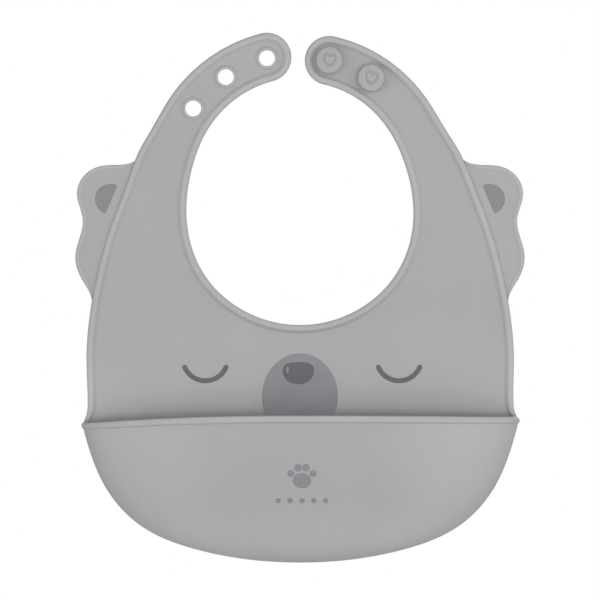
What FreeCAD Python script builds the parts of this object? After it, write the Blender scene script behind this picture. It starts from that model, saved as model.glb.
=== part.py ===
"""Silicone bib with a catch pocket, modelled upright as it is worn.

Frame: +Z up, the front of the bib faces -Y, +X is to the right of someone who looks at the front.
The origin is the centre of the neck opening, in the plane of the flat back. Sizes are millimetres.

The soft moulding is split at the lines where it bends: below the neck, at three folds in each
strap, along each ear and round the front wall of the pocket. At each fold the two ends stand apart
by fold_gap at mid thickness and open out as a V, so that they stay clear of each other when bent.
"""
import FreeCAD
import Part
import math
import os

Vector = FreeCAD.Vector

# --- sheet and rims -----------------------------------------------------------------------------
web_thickness = 1.4        # plain sheet
rim_thickness = 2.8        # rounded bead along every free edge, measured from the back
rim_width = 4.3
rim_rounding = 0.9
fold_gap = 0.4             # space between two pieces of the moulding at a fold
running_gap = 0.3          # space between the pocket's front wall and what it slides past
fold_margin = 4.0          # extra opening of each fold's V, degrees
fold_overrun = 14.0        # how far a strap's fold line runs past its edges

# --- neck opening and straps --------------------------------------------------------------------
neck_half_width = 58.2
neck_half_height = 62.6
strap_width = 25.2
shoulder_flare = 2.9       # how much wider than the strap the shoulder is
strap_angles = (36.0, 57.0, 71.0)       # round the neck from the top, degrees
left_tip_angle = 13.4
right_tip_angle = 12.2
tip_space_angle = 1.2      # the middle of the space between the tips, to the left of the top
left_ease = (1.6, 1.3, 0.4, -0.4)       # how far the inner edge stands out from the neck ellipse,
right_ease = (-0.5, -0.6, -1.2, -1.4)   # at the tip and at strap_angles
strap_folds = (63.0, 40.0, 22.0)        # root, middle and tip folds, degrees round the neck
lower_neck_angles = (99.0, 126.0, 153.0)
lower_neck_ease = (0.5, 1.6, 0.6)       # at lower_neck_angles, alike on both sides
strap_bend_back = 45.0     # at each fold
strap_bend_front = 15.0

# --- body ---------------------------------------------------------------------------------------
half_width = 111.2         # from the middle to the pocket's corners, the widest place but the ears
side_insets = ((14.8, -9.7), (5.0, -47.2))     # of the side from half_width, and at what height
flank_inset = 1.4
flank_below_fold = 11.6
waist_inset = 1.8
waist_above_rim = 9.0
fold_below_neck = 9.4      # from the neck opening's lowest point
panel_bend_back = 60.0
panel_bend_front = 80.0

# --- ears ---------------------------------------------------------------------------------------
# places are out from half_width and up from the middle of the neck
ear_root_top = (-31.2, 20.5)
ear_points = ((-7.6, 19.2), (0.4, 13.6), (3.2, 4.8), (0.2, -8.3), (4.0, -27.5), (0.8, -39.0))
ear_root_bottom = (-8.7, -53.0)
ear_rim_width = 2.8
ear_fold_top = (-25.2, 27.0)
ear_fold_bottom = (-1.3, -50.0)
ear_fold_clearance = 0.9   # from the side of the panel to the fold line, at least
ear_bend = 45.0
ear_patch_centre = (-14.5, 1.7)         # middle of the patch's flat side
ear_patch_tilt = 22.8      # of its flat side from upright, degrees
ear_patch_half_length = 7.9
ear_patch_reach = 8.4

# --- pocket -------------------------------------------------------------------------------------
rim_below_fold = 37.0      # from the fold below the neck to the pocket's rim
pocket_height = 75.4       # rim to the lowest point
pocket_depth = 36.0        # panel to the front wall, at the rim
pocket_wall = 1.4
pocket_points = ((0.970, 0.236), (0.883, 0.517), (0.738, 0.743), (0.470, 0.914))
pocket_taper = 19.0        # sideways run of the outline at the corner, over the pocket's height
pocket_low_width = 0.20    # share of the half width at the last section
pocket_low_level = 0.985   # share of the height at the last section
plan_power = 2.6           # roundness of the pocket seen from above
profile_power = 2.4        # roundness of the pocket seen from the side
lip_height = 3.6
lip_overhang = 1.0         # how far the lip stands out from both faces of the wall
front_half_width = 75.0    # of the wall between the two fixed sides
hinge_forward = 8.0        # pocket hinge, in front of the back face
hinge_rise = 13.4          # above the lowest point of the bib
base_radius = 15.0
pocket_push = 22.0
pocket_pull = 12.0

# --- fastening ----------------------------------------------------------------------------------
hole_radius = 4.2
hole_ring_width = 1.5
hole_ring_thickness = 2.4
hole_pitch = 23.2
stud_stem_radius = 3.9
stud_stem_length = 2.6
stud_head_radius = 6.9
stud_head_thickness = 2.4
stud_head_rounding = 0.9
heart_width = 6.4
heart_line = 0.7
heart_rise = 0.3
heart_shoulder = 40.0      # where a lobe meets its flank, degrees below the lobe's middle
heart_drop = 0.48          # share of the width, from the notch level to the point

# --- prints -------------------------------------------------------------------------------------
print_thickness = 0.2
muzzle_half_width = 19.4
muzzle_half_height = 22.0
muzzle_above_rim = 9.8     # its middle, above the pocket's rim
nose_x = -0.8
nose_above_rim = 22.9      # its widest place
nose_half_width = 8.0
nose_top = 4.4
nose_bottom = 7.0
highlight_inset = 2.4      # from the nose's left end
highlight_size = (1.4, 3.8)
left_eye_x = -48.5
right_eye_x = 50.8
eye_above_rim = 24.8       # the ends of the closed lids
eye_half_width = 10.6
eye_drop = 7.0
eye_line = 2.5
paw_x = 1.0
paw_below_rim = 32.0
paw_pad = (4.6, 3.8)
paw_toes = ((-5.6, 3.6, 1.7), (-2.0, 6.6, 1.9), (2.0, 6.6, 1.9), (5.6, 3.6, 1.7))
dots_below_rim = 42.2
dot_radius = 1.3
dot_pitch = 6.0
dot_count = 5

# --- worked out from the sizes above --------------------------------------------------------------
panel_fold_height = -neck_half_height - fold_below_neck
pocket_rim_height = panel_fold_height - rim_below_fold
waist_height = pocket_rim_height + waist_above_rim
corner_height = pocket_rim_height - lip_height / 2
bottom_height = pocket_rim_height - pocket_height
mid_thickness = -web_thickness / 2
far = 400.0                # further than any piece reaches
outline_steps = 200        # places tried along a side
RIGHT, LEFT = 1, -1


def at(x, z, y=0.0):
    """A point given across, up and then forward or back."""
    return Vector(x, y, z)


def neck_point(side, angle, offset):
    """The point at an angle round the neck ellipse, moved out along the ellipse's normal."""
    turn = math.radians(angle)
    normal = Vector(math.sin(turn) / neck_half_width, 0, math.cos(turn) / neck_half_height)
    normal.normalize()
    x = neck_half_width * math.sin(turn) + normal.x * offset
    z = neck_half_height * math.cos(turn) + normal.z * offset
    return at(side * x, z)


def spline(points, first_tangent=None, last_tangent=None):
    """A smooth curve through points, with its end directions if they are given."""
    curve = Part.BSplineCurve()
    if first_tangent is None:
        curve.interpolate(points)
    else:
        curve.interpolate(Points=points, InitialTangent=first_tangent, FinalTangent=last_tangent)
    return curve.toShape()


def slab(wires, front, back=0.0):
    """The area inside the first wire, less the others, from the back face to the front one."""
    face = Part.Face([Part.Wire(Part.__sortEdges__(edges)) for edges in wires])
    face.translate(Vector(0, -back, 0))
    return face.extrude(Vector(0, back - front, 0))


def polygon(points, front, back):
    """A flat prism over points across and up, from depth back to depth front."""
    wire = Part.makePolygon(points + [points[0]])
    face = Part.Face(wire)
    face.translate(Vector(0, -back, 0))
    return face.extrude(Vector(0, back - front, 0))


def strap_stations(side):
    """The angle and the inner edge's stand-off at the strap's tip and at strap_angles."""
    tip = left_tip_angle if side == LEFT else right_tip_angle
    ease = left_ease if side == LEFT else right_ease
    return list(zip((tip,) + strap_angles, ease))


def strap_centre(side, angle):
    """The middle of the strap at an angle round the neck."""
    stations = strap_stations(side)
    upper = max(s for s in stations[:-1] if s[0] <= angle or s is stations[0])
    lower = stations[stations.index(upper) + 1]
    share = (angle - upper[0]) / (lower[0] - upper[0])
    ease = upper[1] + share * (lower[1] - upper[1])
    return neck_point(side, angle, ease + strap_width / 2)


def outer_points(side, inset):
    """The strap's outer edge and the side of the panel, moved in by inset."""
    flare = (0.0, 0.0, 0.0, shoulder_flare)
    points = [neck_point(side, angle, ease + strap_width + extra - inset)
              for (angle, ease), extra in zip(strap_stations(side), flare)]
    lower = list(side_insets)
    lower.append((flank_inset, panel_fold_height - flank_below_fold))
    lower.append((waist_inset, waist_height))
    lower.append((0.0, corner_height))
    return points + [at(side * (half_width - below - inset), z) for below, z in lower]


def neck_points(inset):
    """The neck opening's edge from the left tip round the bottom to the right tip."""
    left = [neck_point(LEFT, angle, ease + inset) for angle, ease in strap_stations(LEFT)]
    right = [neck_point(RIGHT, angle, ease + inset) for angle, ease in strap_stations(RIGHT)]
    places = list(zip(lower_neck_angles, lower_neck_ease))
    left += [neck_point(LEFT, angle, ease + inset) for angle, ease in places]
    right += [neck_point(RIGHT, angle, ease + inset) for angle, ease in places]
    return left + [neck_point(LEFT, 180.0, inset)] + right[::-1]


def tip_arc(side, inset):
    """The strap's round end, from its inner edge to its outer one."""
    angle, ease = strap_stations(side)[0]
    inner = neck_point(side, angle, ease + inset)
    outer = neck_point(side, angle, ease + strap_width - inset)
    centre = (inner + outer) * 0.5
    across = outer - centre
    beyond = centre + Vector(-side * abs(across.z), 0, side * across.x)
    return Part.Arc(inner, beyond, outer).toShape()


def upper_edges(inset):
    """The edges of straps, neck and sides down to the pocket's corners, moved in by inset."""
    edges = [spline(outer_points(side, inset)) for side in (LEFT, RIGHT)]
    edges += [tip_arc(side, inset) for side in (LEFT, RIGHT)]
    edges.append(spline(neck_points(inset)))
    return edges


def pocket_levels():
    """Half width and height of the bib's outline at each level of the pocket."""
    levels = [(1.0, 0.0)] + list(pocket_points) + [(pocket_low_width, pocket_low_level)]
    return [(share * half_width, pocket_rim_height - drop * pocket_height)
            for share, drop in levels]


def lower_edges():
    """The edges from the pocket's corners round the bottom."""
    edges = []
    for side in (LEFT, RIGHT):
        points = [at(side * half_width, corner_height)]
        points += [at(side * width, z) for width, z in pocket_levels()[1:-1]]
        points.append(at(0, bottom_height))
        down = Vector(-side * pocket_taper, 0, -pocket_height)
        flat = Vector(-side * half_width, 0, 0)
        edges.append(spline(points, down, flat))
    return edges


def beside(side, place):
    """A point given out from half_width and up from the middle of the neck."""
    return at(side * (half_width + place[0]), place[1])


def ear_edge(side, inset):
    """The ear's free edge, from its upper root to its lower one, moved in by inset."""
    points = [ear_root_top] + list(ear_points) + [ear_root_bottom]
    curve = spline([beside(side, place) for place in points])
    if inset == 0:
        return curve
    first, last = curve.ParameterRange
    moved = []
    for step in range(len(points) * 3 + 1):
        value = first + (last - first) * step / (len(points) * 3)
        along = curve.tangentAt(value)
        inward = Vector(-side * -along.z, 0, -side * along.x)
        moved.append(curve.valueAt(value) + inward * inset)
    return spline(moved)


def ear(side):
    """An ear's sheet and rim, running in under the side of the panel."""
    def area(inset):
        edge = ear_edge(side, inset)
        ends = [edge.valueAt(value) for value in edge.ParameterRange]
        root = side * (neck_half_width + strap_width / 2)
        inner = [at(root, ends[0].z), at(root, ends[1].z)]
        path = [ends[0]] + inner + [ends[1]]
        lines = [Part.makeLine(a, b) for a, b in zip(path, path[1:]) if a.distanceToPoint(b) > 1e-6]
        return [edge] + lines
    sheet = slab([area(0.0)], web_thickness)
    rim = slab([area(0.0)], rim_thickness).cut(slab([area(ear_rim_width)], far, -far))
    return sheet.fuse(rim)


def rounded(rims, radius):
    """Rims with their front edges rounded, but not the straight ends that other pieces hide."""
    edges = [edge for edge in rims.Edges if edge.BoundBox.YMax < -rim_thickness + fold_gap
             and not isinstance(edge.Curve, Part.Line)]
    return rims.makeFillet(radius, edges)


def moulding():
    """The flat moulding without the pocket: its body in one piece, and each ear outside its fold."""
    sheet = slab([upper_edges(0.0) + lower_edges()], web_thickness)
    ends = [[outer_points(side, inset)[-1] for side in (LEFT, RIGHT)] for inset in (0.0, rim_width)]
    outer = upper_edges(0.0) + [Part.makeLine(*ends[0])]
    inner = upper_edges(rim_width) + [Part.makeLine(*ends[1])]
    core = slab([inner], far, -far)
    rims = rounded(slab([outer], rim_thickness).cut(core), rim_rounding)
    roots, flaps = [], {}
    for side in (LEFT, RIGHT):
        beside_rim = ear(side).cut(core)
        roots.append(beside_rim.cut(ear_zone(side)))
        flaps[side] = beside_rim.common(ear_zone(side)).removeSplitter()
    return sheet.fuse([rims] + roots).removeSplitter(), flaps


def fold_cutter(start, end, closing_back, closing_front):
    """A prism along a fold whose section is a V on the back and another on the front.

    Each V opens by the angle that the fold closes on that side, so the two ends just miss.
    """
    along = (end - start).normalize()
    across = along.cross(Vector(0, 1, 0))
    reach = 2 * rim_thickness
    half = fold_gap / 2
    back = half + reach * math.tan(math.radians((closing_back + fold_margin) / 2))
    front = half + reach * math.tan(math.radians((closing_front + fold_margin) / 2))
    section = [(-half, 0), (-back, reach), (back, reach),
               (half, 0), (front, -reach), (-front, -reach)]
    points = [start + across * a + Vector(0, mid_thickness + b, 0) for a, b in section]
    return Part.Face(Part.makePolygon(points + [points[0]])).extrude(end - start)


def strap_fold(side, angle):
    """The two ends of a fold line across the strap, inside the neck and beyond the strap."""
    return neck_point(side, angle, -fold_overrun), neck_point(side, angle, strap_width + fold_overrun)


def strap_zone(side, root_angle, tip_angle):
    """The flat region of the strap between two angles round the neck."""
    near, away = strap_fold(side, root_angle)
    near_tip, away_tip = strap_fold(side, tip_angle)
    return polygon([near, away, away_tip, near_tip], far, -far)


def ear_fold(side):
    """The two ends of the fold line along an ear, moved out if the side of the panel comes too near."""
    top, bottom = beside(side, ear_fold_top), beside(side, ear_fold_bottom)
    line = bottom - top
    outline = spline(outer_points(side, 0.0))
    first, last = outline.ParameterRange
    out = 0.0
    for step in range(outline_steps + 1):
        point = outline.valueAt(first + (last - first) * step / outline_steps)
        share = (point.z - top.z) / line.z
        if 0 <= share <= 1:
            gap = side * (top.x + line.x * share - point.x)
            out = max(out, ear_fold_clearance - gap)
    move = Vector(side * out, 0, 0)
    return top + move, bottom + move


def ear_zone(side):
    """The flat region outside the ear's fold line."""
    top, bottom = ear_fold(side)
    return polygon([top, at(side * far, top.z), at(side * far, bottom.z), bottom], far, -far)


def panel_fold():
    """The two ends of the fold line below the neck."""
    return at(-far, panel_fold_height), at(far, panel_fold_height)


def flat_pieces():
    """The moulding split at its folds: a solid for each node."""
    whole, flaps = moulding()
    cutters = [fold_cutter(*panel_fold(), panel_bend_back, panel_bend_front)]
    for side in (LEFT, RIGHT):
        cutters += [fold_cutter(*strap_fold(side, angle), strap_bend_back, strap_bend_front)
                    for angle in strap_folds]
        cutters.append(fold_cutter(*ear_fold(side), ear_bend, ear_bend))
    pieces = {}
    zones = []
    for side, name in ((LEFT, "left"), (RIGHT, "right")):
        limits = strap_folds + (-side * tip_space_angle,)
        for part, root, tip in zip(("root", "middle", "tip"), limits, limits[1:]):
            zone = strap_zone(side, root, tip)
            zones.append(zone)
            pieces[f"{name}_strap_{part}"] = whole.common(zone)
        pieces[f"{name}_ear_flap"] = flaps[side]
    below = [at(-far, panel_fold_height), at(far, panel_fold_height), at(far, -far), at(-far, -far)]
    lower = polygon(below, far, -far)
    pieces["lower_panel"] = whole.common(lower)
    pieces["upper_panel"] = whole.cut(zones + [lower])
    return {name: shape.cut(cutters) for name, shape in pieces.items()}


def superellipse(share, power):
    """The other half axis share of a superellipse at a share of the first one."""
    return max(0.0, 1 - abs(share) ** power) ** (1 / power)


def plan_section(reach, depth, z):
    """The pocket seen from above at one level: a bulging front closed along the panel."""
    steps = 16
    points = []
    for step in range(steps + 1):
        turn = math.pi * step / steps
        share = -math.cos(turn)
        forward = web_thickness + depth * superellipse(share, plan_power)
        points.append(at(reach * share, z, -forward))
    front = spline(points)
    back = Part.makeLine(points[-1], points[0])
    return Part.Wire([front, back])


def pocket_form(offset, top=0.0):
    """The solid inside the pocket's outer face, grown by offset and carried up past the rim by top."""
    sections = []
    if top:
        rim = pocket_rim_height + top
        sections.append(plan_section(half_width + offset, pocket_depth + offset, rim))
    for width, z in pocket_levels():
        level = (pocket_rim_height - z) / pocket_height
        depth = pocket_depth * superellipse(level, profile_power)
        sections.append(plan_section(width + offset, depth + offset, z - offset * level))
    return Part.makeLoft(sections, True, False)


def lip_form(offset, extra=0.0):
    """The pocket's plan at the rim, grown by offset, as high as the lip and extra more each way."""
    low = pocket_rim_height - lip_height - extra
    section = plan_section(half_width + offset, pocket_depth + offset, low)
    return Part.Face(section).extrude(Vector(0, 0, lip_height + 2 * extra))


def block(low, high):
    """A box between two opposite corners."""
    size = high - low
    return Part.makeBox(size.x, size.y, size.z, low)


def pocket_pieces():
    """The pocket's wall and lip: fixed sides and base, and the front that swings between them."""
    cavity = pocket_form(-pocket_wall, top=lip_height)
    wall = pocket_form(0.0).cut(cavity)
    lip = lip_form(lip_overhang).cut(lip_form(-pocket_wall - lip_overhang, extra=lip_height))
    half = front_half_width - running_gap / 2
    middle = block(at(-half, -far, -far), at(half, far, far))
    hinge = at(-far, bottom_height + hinge_rise, -hinge_forward)
    barrel = Part.makeCylinder(base_radius, 2 * far, hinge, Vector(1, 0, 0))
    clear_barrel = Part.makeCylinder(base_radius + running_gap, 2 * far, hinge, Vector(1, 0, 0))
    fixed_half = front_half_width + running_gap / 2
    base_zone = block(at(-fixed_half, -far, -far), at(fixed_half, far, far)).common(barrel)
    pieces = {
        "pocket_front_wall": wall.common(middle).cut([clear_barrel, lip]),
        "pocket_front_lip": lip.common(middle),
        "pocket_base": wall.common(base_zone),
    }
    whole = wall.fuse(lip)
    for side, name in ((LEFT, "left"), (RIGHT, "right")):
        near, away = sorted((side * fixed_half, side * far))
        zone = block(at(near, -far, -far), at(away, far, far))
        pieces[f"pocket_{name}_side"] = whole.common(zone)
    return pieces


def disc(centre, radius, back, front):
    """A round plug through the sheet's depth, from back to front."""
    low = Vector(centre.x, -front, centre.z)
    return Part.makeCylinder(radius, front - back, low, Vector(0, 1, 0))


def fastening_angles(side, count):
    """Angles round the neck of places a hole pitch apart along the strap, from its tip."""
    step = 0.02
    angles = [strap_stations(side)[0][0]]
    while len(angles) < count:
        angle = angles[-1]
        start = strap_centre(side, angle)
        while start.distanceToPoint(strap_centre(side, angle)) < hole_pitch:
            angle += step
        angles.append(angle)
    return angles


def add_holes(pieces):
    """Raise a ring round each button hole of the left strap and cut the hole through it."""
    names = ("left_strap_tip", "left_strap_middle", "left_strap_root")
    for name, angle in zip(names, fastening_angles(LEFT, len(names))):
        centre = strap_centre(LEFT, angle)
        ring = disc(centre, hole_radius + hole_ring_width, 0.0, hole_ring_thickness)
        hole = disc(centre, hole_radius, -rim_thickness, 2 * rim_thickness)
        pieces[name] = pieces[name].fuse(ring).cut(hole)


def heart(width, front, back):
    """A heart with its point down: two round lobes and two straight flanks."""
    lobe = width / 4
    shoulder = math.radians(heart_shoulder)
    low = at(0, -width * heart_drop)
    side_x = lobe * (1 + math.cos(shoulder))
    side_z = lobe * (1 - math.sin(shoulder))
    edges = [Part.makeLine(low, at(-side_x, side_z)), Part.makeLine(low, at(side_x, side_z))]
    for side in (LEFT, RIGHT):
        top = at(side * lobe, 2 * lobe)
        edges.append(Part.Arc(at(0, lobe), top, at(side * side_x, side_z)).toShape())
    return slab([edges], front, back)


def stud(angle):
    """A mushroom stud: a stem as thick as the sheet it goes through, a head and a heart in relief."""
    centre = strap_centre(RIGHT, angle)
    foot = web_thickness
    shoulder = foot + stud_stem_length
    crown = shoulder + stud_head_thickness
    stem = disc(centre, stud_stem_radius, foot, shoulder)
    head = disc(centre, stud_head_radius, shoulder, crown)
    head = head.makeFillet(stud_head_rounding, head.Edges)
    line = heart(heart_width, crown + heart_rise, crown)
    line = line.cut(heart(heart_width - 2 * heart_line, crown + 2 * heart_rise, crown - heart_rise))
    line.rotate(Vector(0, 0, 0), Vector(0, 1, 0), angle)
    line.translate(Vector(centre.x, 0, centre.z))
    return stem.fuse([head, line])


def ellipse_prism(centre, reach_x, reach_z, back, front):
    """An upright ellipse, given its half axes, carried from depth back to depth front."""
    curve = Part.Ellipse(Vector(0, 0, 0), max(reach_x, reach_z), min(reach_x, reach_z)).toShape()
    curve.rotate(Vector(0, 0, 0), Vector(1, 0, 0), 90)
    if reach_z > reach_x:
        curve.rotate(Vector(0, 0, 0), Vector(0, 1, 0), 90)
    curve.translate(at(*centre))
    return slab([[curve]], front, back)


def ellipse_print(centre, reach_x, reach_z, back):
    """A thin printed ellipse on a face at depth back."""
    return ellipse_prism(centre, reach_x, reach_z, back, back + print_thickness)


def nose_print():
    """The nose: a shallow half ellipse on top of a deeper one."""
    back = web_thickness + print_thickness
    centre = (nose_x, pocket_rim_height + nose_above_rim)
    z = centre[1]
    shape = None
    for reach, keep in ((nose_top, 1), (nose_bottom, -1)):
        part = ellipse_print(centre, nose_half_width, reach, back)
        low, high = sorted((z, z + keep * far))
        part = part.common(block(at(-far, low, -far), at(far, high, far)))
        shape = part if shape is None else shape.fuse(part)
    return shape.removeSplitter()


def highlight_print():
    """The small upright gleam on the nose, a round-ended bar."""
    back = web_thickness + 2 * print_thickness
    width, height = highlight_size
    x = nose_x - nose_half_width + highlight_inset
    z = pocket_rim_height + nose_above_rim
    half = height / 2 - width / 2
    bar = block(at(x - width / 2, z - half, -back - print_thickness), at(x + width / 2, z + half, -back))
    ends = [disc(at(x, z + way * half), width / 2, back, back + print_thickness) for way in (-1, 1)]
    return bar.fuse(ends).removeSplitter()


def eye_print(centre_x):
    """A closed eye: a round-ended line along an arc that hangs between its two ends."""
    back = web_thickness
    lid_height = pocket_rim_height + eye_above_rim
    radius = (eye_half_width ** 2 + eye_drop ** 2) / (2 * eye_drop)
    centre = at(centre_x, lid_height - eye_drop + radius)
    outer = disc(centre, radius + eye_line / 2, back, back + print_thickness)
    band = outer.cut(disc(centre, radius - eye_line / 2, 0.0, 2 * rim_thickness))
    ends = [at(centre_x + way * eye_half_width, lid_height) for way in (-1, 1)]
    beyond = [centre + (end - centre) * 4 for end in ends]
    below = [at(beyond[1].x, -far), at(beyond[0].x, -far)]
    sector = polygon([centre, beyond[1]] + below + [beyond[0]], far, -far)
    tips = [disc(end, eye_line / 2, back, back + print_thickness) for end in ends]
    return band.common(sector).fuse(tips).removeSplitter()


def ear_patch(side):
    """The darker inside of an ear: half an ellipse with its flat side towards the panel."""
    tilt = math.radians(ear_patch_tilt)
    down = Vector(side * math.sin(tilt), 0, -math.cos(tilt))
    outward = Vector(side * math.cos(tilt), 0, math.sin(tilt))
    middle = beside(side, ear_patch_centre)
    ends = [middle - down * ear_patch_half_length, middle + down * ear_patch_half_length]
    steps = 6
    points = []
    for step in range(steps + 1):
        turn = math.pi * step / steps
        along = -down * (ear_patch_half_length * math.cos(turn))
        points.append(middle + along + outward * (ear_patch_reach * math.sin(turn)))
    points[0], points[-1] = ends
    edges = [spline(points), Part.makeLine(ends[0], ends[1])]
    return slab([edges], web_thickness + print_thickness, web_thickness)


def pocket_prints():
    """A paw print and a row of dots on the pocket's front, as thick as the other prints."""
    skin = pocket_form(print_thickness).cut(pocket_form(0.0))
    z = pocket_rim_height - paw_below_rim
    near, front = pocket_depth / 2, pocket_depth * 2
    pad = ellipse_prism((paw_x, z), paw_pad[0], paw_pad[1], near, front)
    toes = [disc(at(paw_x + dx, z + dz), radius, near, front) for dx, dz, radius in paw_toes]
    row = [paw_x + (number - (dot_count - 1) / 2) * dot_pitch for number in range(dot_count)]
    dot_height = pocket_rim_height - dots_below_rim
    dots = [disc(at(x, dot_height), dot_radius, near, front) for x in row]
    return {
        "pocket_paw_print": skin.common(Part.makeCompound([pad] + toes)),
        "pocket_dot_row": skin.common(Part.makeCompound(dots)),
    }


def face_prints():
    """Every printed piece on the flat moulding."""
    centre = (0.0, pocket_rim_height + muzzle_above_rim)
    muzzle = ellipse_print(centre, muzzle_half_width, muzzle_half_height, web_thickness)
    return {
        "muzzle_print": muzzle,
        "nose_print": nose_print(),
        "nose_highlight": highlight_print(),
        "left_eye_print": eye_print(left_eye_x),
        "right_eye_print": eye_print(right_eye_x),
        "left_ear_print": ear_patch(LEFT),
        "right_ear_print": ear_patch(RIGHT),
    }


def build():
    """Every node's solid by name."""
    pieces = flat_pieces()
    add_holes(pieces)
    pocket = pocket_pieces()
    for name in ("pocket_left_side", "pocket_right_side", "pocket_base"):
        pocket[name] = pocket[name].cut(pieces["lower_panel"])
    pieces.update(pocket)
    for name, angle in zip(("outer_stud", "inner_stud"), fastening_angles(RIGHT, 2)):
        pieces[name] = stud(angle)
    pieces.update(face_prints())
    pieces.update(pocket_prints())
    return pieces


if __name__ == "__main__":
    os.makedirs("parts", exist_ok=True)
    for name, shape in build().items():
        print(name, shape.isValid(), round(shape.Volume, 1), len(shape.Solids))
        shape.exportStep(f"parts/{name}.step")
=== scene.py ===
"""Silicone bib: the finished surfaces of a soft moulded baby bib with a catch pocket.

The moulding is worked out as smooth surfaces around the CAD frame: one sheet for the yoke and the
lower panel, three lengths for each strap, two ear flaps and the pocket's bowl, each rounded to a
bead along its free edge. Lengths are millimetres inside the functions, across to the right, up, and
forward of the flat back, and become metres where a mesh is written.
"""
import math
from types import SimpleNamespace

import bmesh
import bpy
import numpy as np
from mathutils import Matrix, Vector
from bpy.props import FloatProperty, FloatVectorProperty, PointerProperty
from bpy.types import Operator, Panel, PropertyGroup


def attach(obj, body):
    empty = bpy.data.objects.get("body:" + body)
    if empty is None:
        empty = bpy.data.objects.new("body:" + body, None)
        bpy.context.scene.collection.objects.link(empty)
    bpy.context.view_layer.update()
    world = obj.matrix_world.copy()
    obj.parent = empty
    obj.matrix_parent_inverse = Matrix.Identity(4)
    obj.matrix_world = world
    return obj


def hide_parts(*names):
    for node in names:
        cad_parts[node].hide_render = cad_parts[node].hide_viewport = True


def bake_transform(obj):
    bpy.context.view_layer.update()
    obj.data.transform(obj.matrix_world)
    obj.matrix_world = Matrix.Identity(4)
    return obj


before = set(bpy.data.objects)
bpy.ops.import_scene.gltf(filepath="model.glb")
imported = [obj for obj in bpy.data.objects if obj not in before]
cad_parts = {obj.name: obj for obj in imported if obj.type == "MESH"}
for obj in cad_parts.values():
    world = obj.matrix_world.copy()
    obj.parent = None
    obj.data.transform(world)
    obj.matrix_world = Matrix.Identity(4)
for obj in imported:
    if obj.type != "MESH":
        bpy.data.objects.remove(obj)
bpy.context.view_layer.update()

bl_info = {
    "name": "Silicone bib",
    "version": (1, 0, 0),
    "blender": (4, 5, 0),
    "location": "View3D > Sidebar > Bib",
    "description": "Builds a silicone baby bib with a catch pocket around its CAD frame",
    "category": "Add Mesh",
}

MM = 0.001
LEFT, RIGHT = -1, 1
SIDES = ((LEFT, "left"), (RIGHT, "right"))

# Stations of the outline, across and up.
STRAP_ANGLES = (36.0, 57.0, 71.0)
TIP_ANGLE = {LEFT: 13.4, RIGHT: 12.2}
EASE = {LEFT: (1.6, 1.3, 0.4, -0.4), RIGHT: (-0.5, -0.6, -1.2, -1.4)}
STRAP_FOLDS = (63.0, 40.0, 22.0)
STRAP_SEAMS = (66.5, 43.5, 24.0)        # where one length of strap meets the next
BOTTOM_ANGLES = (99.0, 126.0, 153.0, 180.0)
BOTTOM_EASE = (0.5, 1.6, 0.6, 0.0)
SIDE_TOP = ((89.6, 8.2), (96.4, -9.7), (106.2, -47.2))
SIDE_POINTS = {LEFT: SIDE_TOP + ((109.5, -80.0), (108.9, -102.0), (109.4, -108.0)),
               RIGHT: SIDE_TOP + ((109.7, -80.0), (109.5, -102.0), (110.2, -107.2))}
POCKET_POINTS = ((0.9715, 0.240), (0.886, 0.519), (0.742, 0.744), (0.472, 0.914))
CORNER_HEIGHT = {LEFT: -113.6, RIGHT: -111.4}
CORNER_FLARE = {LEFT: 0.4, RIGHT: 1.0}  # of the pocket's corners past the panel's half width
RIM_DROOP = {LEFT: 4.6, RIGHT: 1.3}     # of the pocket's rim from its middle to each corner
DROOP_POWER = 2.2                       # how late across the rim the droop comes
EAR_POINTS = ((80.6, 26.0), (84.2, 21.9), (88.6, 20.0), (96.0, 19.4), (104.2, 18.3), (111.6, 12.9),
              (114.4, 4.8), (111.4, -8.3), (115.2, -27.5), (112.0, -39.0), (107.4, -47.4),
              (106.4, -54.5))
EAR_ROOT = ((0, 0.05, 0.1, 0.16, 0.25, 0.33, 0.41, 0.54, 0.73, 0.84, 0.93, 1),   # share of the free edge
            (27.5, 20.5, 15.0, 12.0, 8.5, 5.0, 0.0, -10.0, -27.0, -38.0, -47.0, -54.5))   # height
EAR_FOLD = ((86.0, 27.0), (109.9, -50.0))
FASTENING_PITCH = 23.2                  # from hole to hole and from stud to stud, along the strap
HOLE_SHIFT = (0.1, -0.5)                # of the holes from the strap's middle line
BEAD_ROWS = np.array([0, 0.03, 0.12, 0.28, 0.5, 0.8, 1.15, 1.5, 1.9, 2.3, 2.7, 3.05, 3.4, 3.75, 4.1,
                      4.5, 5.2])

EYE_MIDDLE = {"left": -48.5, "right": 50.8}
STUDS = (("outer_stud", "right_strap_tip", 2.0),       # body, and degrees that the heart leans
         ("inner_stud", "right_strap_middle", 16.0))

# Painted light and shade: values of the edge attribute, which the silicone's tone follows, lighter above 0
# and darker below 0.
# painted highlight: the beads and the pocket's lip are made lighter
BEAD_PAINTED_LIGHT, LIP_PAINTED_LIGHT = 0.55, 0.5
# painted light: the pocket's flanks and foot are made lighter
FLANK_PAINTED_LIGHT, FOOT_PAINTED_LIGHT = 0.65, 1.3
# painted shade: the sheet inside the pocket is made darker, where little light comes
INSIDE_PAINTED_SHADE = 1.2                       # below 0, on the sheet inside the pocket
# painted reflected light: the sheet just above the pocket is made lighter
REFLECTED_SHARE = 0.5                   # of it, the other way, on the sheet just above the pocket


# --- what a user may change -------------------------------------------------------------------------
def length(label, text, value):
    """A length property whose default is given in millimetres."""
    return FloatProperty(name=label, description=text, default=value * MM, unit="LENGTH", precision=4)


def colour(label, text, value):
    """A colour property."""
    return FloatVectorProperty(name=label, description=text, default=value, subtype="COLOR", size=3,
                               min=0, max=1)


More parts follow.
